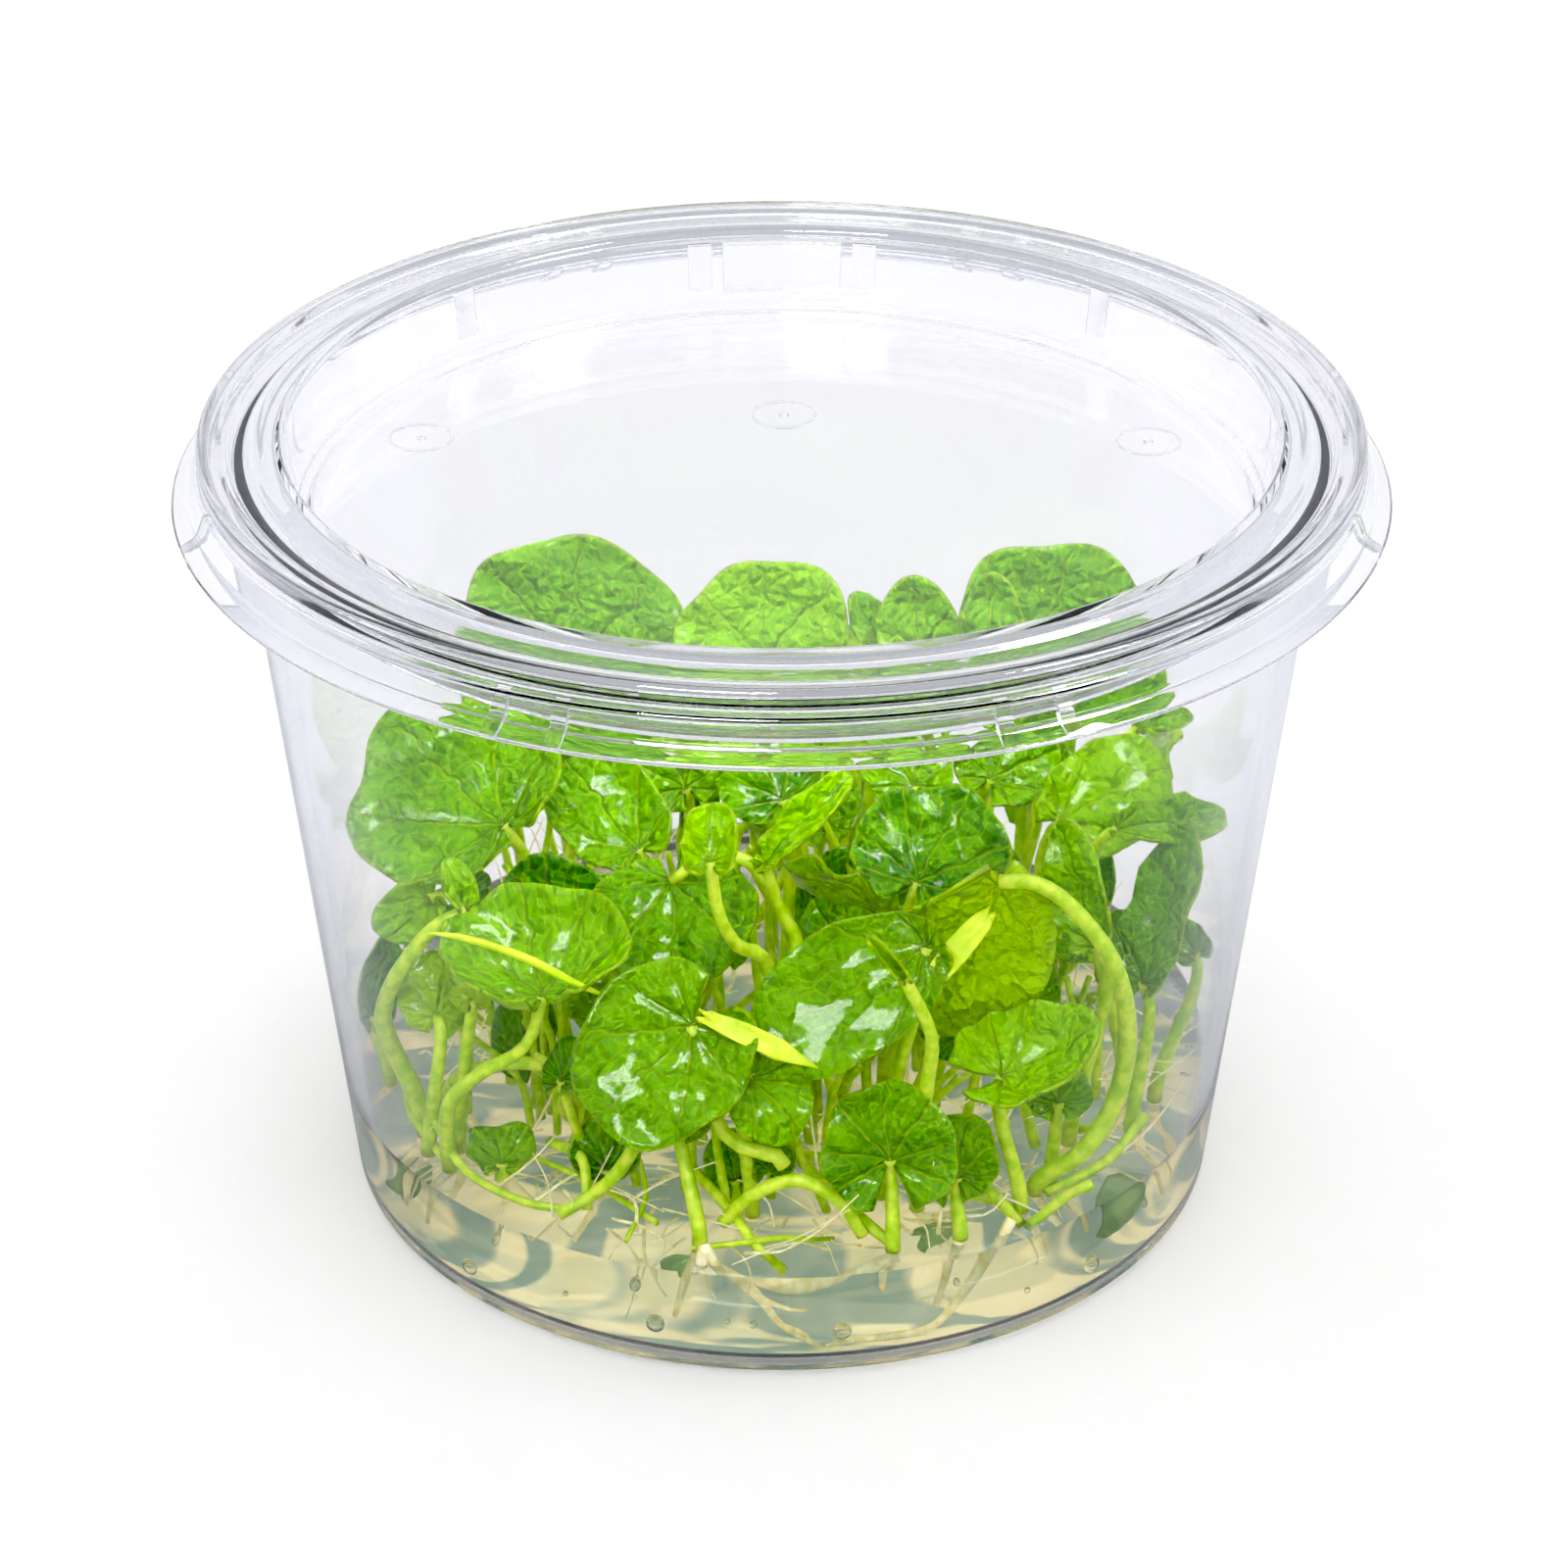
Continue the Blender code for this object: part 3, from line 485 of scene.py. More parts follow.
BLADE, SMALL_BLADE = 0.3, 0.2  # thicknesses
LEAVES = (
    Leaf("back_1", (-19.2, 13, 39.5), (-18.7, 17, 52), 19, (-90, 20), (-14, 15), cup=1.5),
    Leaf("back_2", (-1.5, 11, 41), (-2, 15, 50), 15.5, (-88, 25), (-1, 13), cup=2, youth=0.7),
    Leaf("back_3", (12.5, 6, 44.5), (11.5, 8, 51.5), 7.5, (-95, 20), (10, 8), cup=0.8, back=0.4, youth=0.45),
    Leaf("back_4", (24, 12, 40.5), (26, 16, 52), 17, (-85, 25), (22, 14), cup=1.5),
    Leaf("back_5", (19, 5, 45.3), (18.5, 7, 52.3), 5.5, (-100, 25), (17, 4), cup=0.6, back=0.4),
    Leaf("back_6", (9.5, 11, 43), (6, 12, 48), 4, (-80, 30), (7, 14), fold=25, back=0.3),
    Leaf("left_1", (-24, -12, 39), (-34, -4, 43.5), 21.5, (-70, 30), (-17, -6), cup=2, back=0.2, youth=0.3),
    Leaf("left_2", (-24.5, 4, 34), (-28.5, 8, 42.5), 10.5, (-80, 30), (-23, 6), cup=1, youth=0.5),
    Leaf("left_3", (-12.5, -10, 35.5), (-19, -4, 40.5), 9.5, (-75, 35), (-12, -8), cup=1, back=0.2),
    Leaf("left_4", (-20, -17.3, 28.8), (-20.5, -12.8, 36.5), 10.5, (-90, 40), (-18, -15), cup=1, back=0.2,
         youth=0),
    Leaf("left_5", (-26.5, -21.5, 36), (-28.5, -20, 40.5), 4, (-60, 35), (-31, -17.5),
         via=((-33.8, -18.5, 21.5), (-33.8, -19.5, 25.5), (-32, -21.5, 30.5), (-29.3, -22, 34.5)),
         fold=45, back=0.1, stem=0.7, youth=0.9),
    Leaf("left_6", (-30, -18, 35), (-33.5, -18, 31), 5, (-100, 30), (-28, -14), cup=0.8, back=0.3,
         youth=0.7),
    Leaf("left_7", (-20, -27, 31), (-22, -19, 33), 15.5, (-90, 65), (-28.5, -23),
         via=((-28.3, -25, 18.5), (-25.7, -26.3, 22.5), (-21.5, -27, 26)),
         cup=4.5, back=0.5, youth=0.5),
    Leaf("left_8", (-29.5, -20, 24.5), (-29, -16.5, 29), 6.5, (90, 40), (-30.5, -20.5), fold=10, back=0.3,
         youth=0.6),
    Leaf("left_9", (-26, -23.5, 28.5), (-26.5, -22, 32), 4.5, (90, 30), (-28, -20), via=((-27.2, -21.2, 20),),
         fold=15, back=0.3),
    Leaf("left_10", (-36, -10, 18), (-35, -8, 25), 4, (-60, 20), (-35, -9.5), back=0.2, youth=0),
    Leaf("centre_1", (-9.5, -14, 34.5), (-9, -23, 29), 14.5, (-95, 55), (3, -15),
         via=((1.2, -15, 28.3), (-1.3, -14.5, 34), (-3, -14, 36.5), (-6.5, -13.5, 36.5)), fold=15, back=0.25,
         youth=0.25),
    Leaf("centre_2", (-6, -23.5, 42), (-6, -20, 45), 4.5, (-90, 60), (-0.8, -20.5),
         via=((-1, -21.5, 29.5), (-3.8, -22.8, 33.4), (-5.3, -23.3, 36.8)), cup=2, back=0.5, youth=0.8),
    Leaf("centre_3", (-1.5, -17, 38), (6, -12, 44), 5, (-110, 35), (2.5, -18.5),
         via=((1.5, -17.5, 29), (0, -17, 33)), fold=50, back=0.1, youth=0.8),
    Leaf("centre_4", (9, -14, 32), (0, -11, 34.5), 7.5, (90, 40), (9, -12), cup=0.5, back=0.2, youth=0.85),
    Leaf("centre_5", (11.5, -19.4, 37.7), (15.5, -13.4, 41.7), 13.5, (-90, 50), (10, -17), cup=2, back=0.45,
         youth=0.08),
    Leaf("centre_6", (12, -27.5, 36), (-2, -30.5, 28), 11.5, (-95, 40), (8.5, -27.5),
         via=((9.5, -27.3, 22), (11.3, -27, 30)), cup=0.5, back=0.1),
    Leaf("centre_7", (10, -35, 37.5), (7, -34, 41), 1.5, (-90, 30), (11.5, -29),
         via=((12, -31.5, 24), (12.3, -33.5, 31)), fold=60, back=0.1, youth=0.9),
    Leaf("right_1", (18, -25, 41), (14, -25, 26), 13.5, (90, 0), (21.5, -26.5),
         via=((25.5, -27.3, 15.5), (28.3, -25.5, 20), (29, -25.7, 27), (27.5, -26.3, 34), (24, -26, 39),
              (21, -25.5, 41)), cup=0.5, back=0.1, stem=0.75, youth=0.85, curls=((-135, 0.9, -155, 0),)),
    Leaf("right_2", (18.4, -29, 24.4), (26.1, -26.9, 26.7), 9, (-100, 62), (20.3, -29.3), cup=2.5, back=0.5,
         youth=0.85),
    Leaf("right_3", (23.5, -25, 19), (23.5, -22, 21.5), 6, (-90, 50), (23, -25), back=0.4),
    Leaf("right_4", (26.5, -20, 31.5), (23.5, -14, 41), 5.5, (-120, 20), (25, -19), fold=15, back=0.1,
         youth=0.7),
    Leaf("right_5", (31, -17, 26), (35, -11.5, 38), 6.5, (-130, 15), (30.5, -17), fold=20, back=0.1,
         youth=0.3),
    Leaf("right_6", (36, -12, 26), (34.5, -10, 27.5), 3.5, (-90, 40), (33, -12), cup=0.8, back=0.4),
    Leaf("right_7", (24.5, -6, 36), (34.5, -2, 39.5), 9.5, (-85, 40), (25, -4), cup=0.5, back=0.2,
         youth=0.7),
    Leaf("right_8", (29, -10.8, 38), (38.5, -7.8, 37), 5, (-80, 50), (30.5, -10.5), fold=35, back=0.1,
         youth=0.5),
    Leaf("right_9", (31.5, 0, 42), (36.5, 2, 42.5), 2.5, (-90, 50), (30, 2), fold=20, back=0.1),
    Leaf("front_1", (9, -34.2, 19.2), (8.5, -31.7, 25.2), 11.5, (-92, 25), (9.3, -35.3), cup=0.6, back=0.68,
         youth=0.2),
    Leaf("front_2", (14.7, -32, 16), (15.5, -30, 21.5), 6, (-80, 30), (15, -33.5), cup=0.6, back=0.4),
    Leaf("front_3", (-7.5, -31, 30.5), (-15, -34, 23), 15, (-95, 40), (0.2, -33.6, 18.2),
         via=((-4.8, -32.2, 20.5),), cup=1, back=0.42, curls=((157, 2.2, 155, -1),)),
    Leaf("front_4", (-2.4, -33.2, 26.6), (1.6, -34.7, 22.1), 7, (-90, 40), (-2.5, -30), cup=0.6, back=0.3,
         youth=0.4),
    Leaf("front_5", (-4, -28, 13), (-4.5, -26, 17), 5, (-90, 35), (-4, -28), cup=0.8, back=0.3, youth=0.55),
    Leaf("front_6", (-15, -27, 13.5), (-15.5, -24, 16), 6, (-90, 45), (-15, -26), cup=0.8, back=0.3,
         youth=0.1),
    Leaf("front_7", (-24, -24.5, 12.5), (-24.5, -20.5, 14), 5.5, (-80, 60), (-24, -24.5), cup=0.5, back=0.3,
         youth=0.5),
    Leaf("front_8", (-9.5, -28, 23), (-12, -25.5, 27), 7, (-90, 40), (-6.8, -35),
         via=((-8.3, -31, 17.5),), back=0.3, youth=0.1),
    Leaf("middle_1", (-8.5, -2, 37), (-11, 0, 42.5), 8, (-95, 40), (-9, 0), cup=0.8, back=0.3),
    Leaf("middle_2", (0, -4, 37), (-3, 0, 42), 9.5, (-90, 40), (0, -2), cup=0.8, back=0.3, youth=0.1),
    Leaf("middle_3", (11.5, -5, 39), (9, 0, 44), 8.5, (-85, 40), (11, -3), cup=0.8, back=0.3),
    Leaf("middle_4", (18.5, -2, 38), (22, 2, 43.5), 9.5, (-80, 40), (18, 0), cup=0.8, back=0.3),
    Leaf("rear_1", (-22, 23, 27), (-27, 27, 35), 12, (120, 30), (-20, 22), cup=1),
    Leaf("rear_2", (-8, 27, 24), (-10, 32, 33), 13, (95, 30), (-8, 25), cup=1.2, youth=0.7),
    Leaf("rear_3", (7, 25, 26.5), (8, 30, 35), 12, (85, 25), (7, 23), cup=1),
    Leaf("rear_4", (21, 23, 24), (25, 28, 33), 12, (50, 30), (20, 22), cup=1.2, youth=0.7),
    Leaf("rear_5", (31, 12, 27), (35.5, 15, 35), 11, (20, 30), (29, 12), cup=1),
    Leaf("rear_6", (-33, 10, 24), (-36.5, 12, 32), 10, (165, 30), (-31, 11), cup=1, youth=0.1),
    Leaf("rear_7", (0, 20, 37), (1, 25, 44), 12, (90, 50), (1, 19), cup=1),
)
print("leaves", len(LEAVES))

# %% [markdown]
# ## The shape of a blade
#
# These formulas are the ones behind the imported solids: an oval outline about the junction, folded
# about the midrib, with its edge raised. Here the same surface also gets waves and fine crinkles.

# %% Points of a blade
NOTCH_SIDE = 158.0             # degrees from the tip to either side of the notch
VEIN_STEP = 40.0               # degrees between sunk veins
VEIN_DEPTH, VEIN_WIDTH = 0.22, 0.45
CURL_RADIUS = 0.4
EDGE_WAVES = 4
SWELL, CRINKLE = 0.5, 0.16     # heights


def blade_frame(leaf):
    """The blade's directions: to its tip, to its right side and out of its upper side."""
    axis = (Vector(leaf.tip) - Vector(leaf.junction)).normalized()
    bearing, height = (math.radians(angle) for angle in leaf.face)
    face = Vector((math.cos(bearing) * math.cos(height), math.sin(bearing) * math.cos(height),
                   math.sin(height)))
    normal = (face - face.dot(axis) * axis).normalized()
    return axis, axis.cross(normal), normal


def edge_distance(leaf, length, turn):
    """Distance from the junction to the blade's oval edge, at an angle from the tip."""
    half_length = length * (1 + leaf.back) / 2
    half_width = leaf.width / 2
    centre = length - half_length
    along, across = math.cos(turn) / half_length, math.sin(turn) / half_width
    a = along ** 2 + across ** 2
    b = -2 * along * centre / half_length
    c = (centre / half_length) ** 2 - 1
    return (-b + math.sqrt(b * b - 4 * a * c)) / (2 * a)


def bays(length, turn):
    """How far the outline strays from its oval: three broad bays and seven small ones."""
    return 0.09 * math.sin(3 * turn + 7 * length) + 0.06 * math.sin(7 * turn + length)


def blade_point(leaf, frame, share, turn, reach):
    """A point of the blade's middle surface. Its share is 0 at the junction and 1 at the edge."""
    axis, side, normal = frame
    along, across = reach * math.cos(turn), reach * math.sin(turn)
    spot = Vector((along, across, 0)) + Vector(leaf.junction)
    rolled = 0.0
    for direction, distance, angle, one_side in leaf.curls:
        toward = Vector((math.cos(math.radians(direction)), math.sin(math.radians(direction))))
        beyond = toward.dot((along, across)) - distance
        if beyond > 0 and across * one_side >= 0:
            bent = min(beyond / CURL_RADIUS, math.radians(abs(angle)))
            rest = beyond - bent * CURL_RADIUS
            shift = CURL_RADIUS * math.sin(bent) + rest * math.cos(bent) - beyond
            along, across = along + toward.x * shift, across + toward.y * shift
            rolled += math.copysign(CURL_RADIUS * (1 - math.cos(bent)) + rest * math.sin(bent), angle)
    fold = math.radians(leaf.fold)
    out, rise = abs(across) * math.cos(fold), abs(across) * math.sin(fold)
    rise += leaf.cup * share ** 2 + rolled
    rise += leaf.wave * share ** 3 * math.sin(EDGE_WAVES * turn + spot.x)
    rise += SWELL * min(1, share * 2) * noise.noise(spot * 0.3)
    rise += CRINKLE * min(1, share * 3) * noise.noise(spot * 0.9)
    fan = math.degrees(turn) / VEIN_STEP
    off_vein = abs(fan - round(fan)) * math.radians(VEIN_STEP) * share * leaf.width / 2
    rise -= VEIN_DEPTH * math.exp(-(off_vein / VEIN_WIDTH) ** 2) * min(1, share * 4) * (1 - share ** 4)
    return Vector(leaf.junction) + axis * along + side * math.copysign(out, across) + normal * rise


# %% [markdown]
# ## Stalks
#
# A stalk leaves its foot straight up and bends to meet the blade from below. A round section is
# pulled along that curve one step at a time, and turned to stay square to it.

# %% Curves
def smooth_curve(points, first_slope, last_slope, steps):
    """Points on a smooth curve through the given ones, with its slopes at both ends."""
    inner = ((after - before) / 2 for before, after in zip(points, points[2:]))
    slopes = [first_slope, *inner, last_slope]
    curve = []
    for (start, lean), (end, next_lean) in zip(zip(points, slopes), zip(points[1:], slopes[1:])):
        curve += interpolate_bezier(start, start + lean / 3, end - next_lean / 3, end, steps + 1)[:-1]
    return curve + [points[-1]]


def free_curve(places, steps):
    """A smooth curve through a few places, which is free at both ends."""
    points = [Vector(place) for place in places]
    return smooth_curve(points, points[1] - points[0], points[-1] - points[-2], steps)


def stalk_curve(leaf, steps):
    """Points along the stalk, from its foot into the blade."""
    axis, _, normal = blade_frame(leaf)
    foot = Vector(leaf.foot if len(leaf.foot) == 3 else (*leaf.foot, GEL_TOP + GAP))
    junction = Vector(leaf.junction) - normal * BLADE / 2
    points = [foot, *(Vector(point) for point in leaf.via), junction]
    first_slope = Vector((0, 0, (points[1] - foot).length))
    if leaf.via:
        return smooth_curve(points, first_slope, junction - points[-2], steps)
    arrive = (axis * 0.5 + normal).normalized()
    return smooth_curve(points, first_slope, arrive * (junction - foot).length, 3 * steps)


# %% Tubes
def tube(whole, points, radii, sides=10, material=0):
    """Pulls a round section along a curve. Both ends are closed."""
    bm = bmesh.new()
    ahead = (points[1] - points[0]).normalized()
    place = Matrix.Translation(points[0]) @ ahead.to_track_quat("Z", "Y").to_matrix().to_4x4()
    bmesh.ops.create_circle(bm, cap_ends=True, radius=radii[0], segments=sides, matrix=place)
    edges = bm.edges[:]
    for i in range(1, len(points)):
        grown = bmesh.ops.extrude_edge_only(bm, edges=edges)["geom"]
        ring = [part for part in grown if isinstance(part, bmesh.types.BMVert)]
        edges = [part for part in grown if isinstance(part, bmesh.types.BMEdge)]
        heading = (points[min(i + 1, len(points) - 1)] - points[i - 1]).normalized()
        bend = ahead.rotation_difference(heading).to_matrix().to_4x4()
        size = Matrix.Scale(radii[i] / radii[i - 1], 4)
        move = Matrix.Translation(points[i]) @ bend @ size @ Matrix.Translation(-points[i - 1])
        bmesh.ops.transform(bm, matrix=move, verts=ring)
        ahead = heading
    bmesh.ops.edgeloop_fill(bm, edges=edges)
    bmesh.ops.recalc_face_normals(bm, faces=bm.faces)
    for face in bm.faces:
        face.material_index = material
    absorb(whole, bm)


def strand(whole, places, first, last, steps, sides):
    """A root or stalk through a few places, tapering from its first radius to its last."""
    curve = free_curve(places, steps)
    count = len(curve) - 1
    tube(whole, curve, [first + (last - first) * i / count for i in range(count + 1)], sides=sides)


# %% [markdown]
# ## Leaf finishes
#
# A leaf is thin and waxy. Light falls through it and scatters, so its colour glows, and its wet skin
# throws back crisp, broken highlights. Veins fan out from the junction and fork before the edge, and a
# fine net of small veins quilts the skin between them. The patterns follow the blade through two
# attributes: its flat place in millimetres, and its angle and share of the way to the edge.

# %% Leaf blade
def leaf_blade():
    made, tree, shader = new_material("glossy_living_leaf")
    flat = add(tree, "Attribute", attribute_name="flat_mm").outputs["Vector"]
    polar = add(tree, "Attribute", attribute_name="polar").outputs["Vector"]
    upper = add(tree, "SeparateXYZ", {"Vector": flat}).outputs["Z"]
    turn, share, youth = add(tree, "SeparateXYZ", {"Vector": polar}).outputs
    wobble = add(tree, "TexNoise", {"Vector": flat, "Scale": 0.35, "Detail": 2.0})
    sway = add(tree, "MapRange", {"Value": wobble, "To Min": -0.08, "To Max": 0.08})
    bent_turn = add(tree, "Math", {0: sway, 1: turn}, operation="ADD")
    reach = add(tree, "VectorMath", {0: flat}, operation="LENGTH")

    def veins(count, width):
        """1 on a vein and 0 between, for a number of veins over the fan, width in millimetres."""
        aside = add(tree, "Math", {0: bent_turn, 1: 1 / count}, operation="PINGPONG")
        gap = add(tree, "Math", {0: aside, 1: reach}, operation="MULTIPLY")
        return add(tree, "MapRange", {"Value": gap, "From Max": width / math.pi, "To Min": 1.0,
                                      "To Max": 0.0}, interpolation_type="SMOOTHSTEP")

    main_veins = veins(9, 0.3)
    fork_zone = add(tree, "MapRange", {"Value": share, "From Min": 0.42, "From Max": 0.6, "To Max": 0.7})
    forks = add(tree, "Math", {0: veins(27, 0.2), 1: fork_zone}, operation="MULTIPLY")
    net = add(tree, "TexVoronoi", {"Vector": flat, "Scale": 0.75}, feature="DISTANCE_TO_EDGE")
    net_line = add(tree, "MapRange", {"Value": net, "From Max": 0.12, "To Min": 0.4, "To Max": 0.0})
    strong = add(tree, "Math", {0: main_veins, 1: forks}, operation="MAXIMUM")
    lines = add(tree, "Math", {0: strong, 1: net_line}, operation="MAXIMUM")

    aged = add(tree, "Mix", {0: youth, 6: linear("#1F7400"), 7: linear("#A4DC00")}, data_type="RGBA")
    mottle = add(tree, "TexNoise", {"Vector": flat, "Scale": 0.22, "Detail": 3.0})
    patch = add(tree, "MapRange", {"Value": mottle, "From Min": 0.4, "From Max": 0.65, "To Max": 0.5})
    warm = add(tree, "Mix", {0: patch, 6: aged, 7: linear("#84C400")}, data_type="RGBA")
    vein_share = add(tree, "Math", {0: lines, 1: 0.4}, operation="MULTIPLY")
    veined = add(tree, "Mix", {0: vein_share, 6: warm, 7: linear("#B8E020")}, data_type="RGBA")
    # A bright rim along the edge is a painted glow, standing for light shining through the thin margin.
    rim = add(tree, "MapRange", {"Value": share, "From Min": 0.97, "From Max": 1.0, "To Max": 0.3})
    with_painted_edge_glow = add(tree, "Mix", {0: rim, 6: veined, 7: linear("#BCE410")}, data_type="RGBA")
    below = add(tree, "MapRange", {"Value": upper, "To Min": 0.6, "To Max": 0.0})
    skin = add(tree, "Mix", {0: below, 6: with_painted_edge_glow, 7: linear("#B4DC08")}, data_type="RGBA")

    swell = add(tree, "TexNoise", {"Vector": flat, "Scale": 0.45, "Detail": 3.0, "Distortion": 0.6})
    quilt = add(tree, "Math", {0: swell, 1: 2.2, 2: net}, operation="MULTIPLY_ADD")
    height = add(tree, "Math", {0: main_veins, 1: -0.35, 2: quilt}, operation="MULTIPLY_ADD")
    bump = add(tree, "Bump", {"Height": height, "Strength": 1.0, "Distance": 0.0009})
    feed(shader, {"Base Color": skin, "Normal": bump, "Roughness": 0.3, "IOR": 1.4,
                  "Specular IOR Level": 0.1, "Coat Weight": 0.9, "Coat Roughness": 0.05,
                  "Subsurface Weight": 0.3, "Subsurface Radius": (0.6, 1.0, 0.15),
                  "Subsurface Scale": 0.0012})
    return made


LEAF = leaf_blade()

# %% [markdown]
# Stalks and runners are smooth and juicy, pale yellow-green with small pale speckles. Roots and soaked
# leaves have the same kind of skin. A few of these skins glow faintly, in place of the light that scatters
# between the crowded plants.

# %% Skin of stalks and roots
def soft_skin(name, light, dark, scale, glow=0.0):
    made, tree, shader = new_material(name)
    place = add(tree, "TexCoord").outputs["Object"]
    speckle = add(tree, "TexNoise", {"Vector": place, "Scale": scale, "Detail": 4.0})
    spread = add(tree, "MapRange", {"Value": speckle, "From Min": 0.38, "From Max": 0.62})
    colour = add(tree, "Mix", {0: spread, 6: linear(dark), 7: linear(light)}, data_type="RGBA")
    bump = add(tree, "Bump", {"Height": speckle, "Strength": 0.2, "Distance": 0.0001})
    feed(shader, {"Base Color": colour, "Normal": bump, "Roughness": 0.32, "Subsurface Weight": 0.3,
                  "Subsurface Radius": (1.0, 1.0, 0.3), "Subsurface Scale": 0.001})
    if glow:
        feed(shader, {"Emission Color": colour, "Emission Strength": glow})
    return made


STALK = soft_skin("juicy_green_stalk", "#DCF44C", "#AEDC20", 900.0)
UNDERSIDE = soft_skin("pale_leaf_underside", "#E2F43C", "#C4E80C", 500.0, glow=0.05)
SUNKEN_SKIN = soft_skin("soaked_leaf_skin", "#A8C48C", "#7C9E66", 250.0, glow=0.12)
ROOT = soft_skin("cream_root_skin", "#FFF8CC", "#E8DC98", 1200.0, glow=0.22)

# %% [markdown]
# ## Growing every leaf
#
# The grid's width becomes the angle about the junction and its height the way out to the edge. After
# the points are in place, the sheet is thickened, and the stalk is pulled up to it.

# %% Grow a leaf
def grow_blade(whole, leaf, thickness, around, outward):
    """Wraps a grid into a blade and thickens it. Its attributes carry its flat place and its fan."""
    bm = bmesh.new()
    flat_mm = bm.verts.layers.float_vector.new("flat_mm")
    polar = bm.verts.layers.float_vector.new("polar")
    frame = blade_frame(leaf)
    length = (Vector(leaf.tip) - Vector(leaf.junction)).length
    sheet = bmesh.ops.create_grid(bm, x_segments=around, y_segments=outward, size=0.5)["verts"]
    for vert in sheet:
        turn = 2 * vert.co.x * math.radians(NOTCH_SIDE)
        share = 0.015 + 0.985 * (vert.co.y + 0.5)
        uneven = 1 + leaf.wave * share * bays(length, turn)
        reach = share * edge_distance(leaf, length, turn) * uneven
        vert[flat_mm] = (reach * math.sin(turn), reach * math.cos(turn), 1.0)
        vert[polar] = (turn / math.pi, share, leaf.youth)
        vert.co = blade_point(leaf, frame, share, turn, reach)
    faces = bm.faces[:]
    bmesh.ops.recalc_face_normals(bm, faces=faces)
    if sum((face.normal * face.calc_area() for face in faces), Vector()).dot(frame[2]) < 0:
        bmesh.ops.reverse_faces(bm, faces=faces)
    bm.normal_update()
    known = set(bm.verts)
    bmesh.ops.solidify(bm, geom=faces, thickness=thickness)
    for vert in bm.verts:
        if vert not in known:
            vert[flat_mm] = (vert[flat_mm][0], vert[flat_mm][1], 0.0)
    bmesh.ops.recalc_face_normals(bm, faces=bm.faces)
    absorb(whole, bm)


for leaf in LEAVES:
    bm = bmesh.new()
    grow_blade(bm, leaf, BLADE, 72, 18)
    curve = stalk_curve(leaf, 4)
    last = len(curve) - 1
    tube(bm, curve, [leaf.stem * (1.15 - 0.3 * i / last) for i in range(last + 1)], material=1)
    piece("floating_heart_" + leaf.name, bm, [LEAF, STALK], "leaf_" + leaf.name, slot="plant")
print("leaves grown")

# %% [markdown]
# Two blades have a lobe folded over, which shows its pale underside as a narrow creased strip, and a
# third turns up the bright edge on its near side.

# %% Folded lobes and a turned-up edge
FOLDS = (
    Leaf("fold_1", (-6.3, -32, 32), (3.1, -34.4, 28.5), 2, (-80, 35), fold=25, cup=-0.4, back=0.1,
         wave=0.15),
    Leaf("fold_2", (17.1, -26.2, 38.4), (11.5, -30, 33.2), 2.4, (-100, 25), fold=20, cup=-0.5, back=0.1,
         wave=0.15),
)
TURNED_EDGE = ((-29.2, -27.8, 37.6), (-25.9, -28.6, 37.5), (-21, -29.2, 35.9), (-17, -29.4, 33.6),
               (-14.4, -28.6, 31.8))
TURNED_RADIUS = 0.32
folds = bmesh.new()
for leaf in FOLDS:
    grow_blade(folds, leaf, 0.25, 40, 8)
curve = free_curve(TURNED_EDGE, 8)
last = len(curve) - 1
tube(folds, curve, [TURNED_RADIUS * (0.15 + math.sin(math.pi * i / last) ** 0.7) for i in range(last + 1)])
piece("folded_leaf_edges", folds, [UNDERSIDE], slot="plant")

# %% [markdown]
# ## Runners
#
# Creeping stems join the plantlets, arch up from the gel and dip back into it.

# %% Pull the runners
RUNNERS = (
    ("runner_1", 0.6, ((-5, -32.5, 11.7), (-2.5, -33.3, 15), (1.2, -33.8, 16.9), (4.8, -34, 15),
                       (6.8, -34.3, 11.7))),
    ("runner_2", 0.6, ((-30, -14, 11.8), (-27.5, -18, 17.5), (-22, -20, 19.8), (-16, -20, 18),
                       (-12, -18, 11.8))),
    ("runner_3", 0.6, ((-17, -29.5, 11.7), (-14, -30, 15), (-11, -28.5, 19.5), (-8.5, -24, 20.5),
                       (-7, -20, 11.8))),
    ("runner_4", 0.65, ((6, -24, 11.8), (10, -26, 14), (14, -28.5, 13), (18, -29, 11.8))),
)
for name, radius, places in RUNNERS:
    bm = bmesh.new()
    strand(bm, places, radius, radius, 8, 10)
    piece("creeping_" + name, bm, [STALK], name, slot="plant")

# %% [markdown]
# ## Leaf bits in the gel, and the young leaves of the crowd
#
# A few blades sank into the gel before it set. Above it, low young leaves fill the space between the stalks.

# %% Sunken leaves
SUNKEN = (
    Leaf("sunken_1", (27.2, -24.6, 6.6), (30.4, -20, 7.4), 3.2, (-60, 40), youth=0.5),
    Leaf("sunken_2", (-32.6, -16.6, 5.6), (-29.6, -20, 6.6), 2.6, (-120, 40), youth=0.5),
    Leaf("sunken_3", (-7.5, -35.2, 8.6), (-10, -34.6, 8.9), 1.8, (-100, 20), youth=0.4),
    Leaf("sunken_4", (12, -31, 8.2), (15, -29.5, 8.8), 2.4, (-80, 30), youth=0.2),
)
bits = bmesh.new()
for leaf in SUNKEN:
    grow_blade(bits, leaf, SMALL_BLADE, 30, 6)
piece("leaf_bits_in_gel", bits, [SUNKEN_SKIN], slot="plant")

# %% Random places and directions
def scattered(reach, inner, height):
    """A random spot on a level disc. Inner is the share of its area that stays free in the middle."""
    bearing, out = draw(0, math.tau), reach * math.sqrt(draw(inner, 1))
    return Vector((out * math.cos(bearing), out * math.sin(bearing), height))


def drawn(*ranges):
    """A random vector, with a range for each of its values."""
    return Vector([draw(*span) for span in ranges])


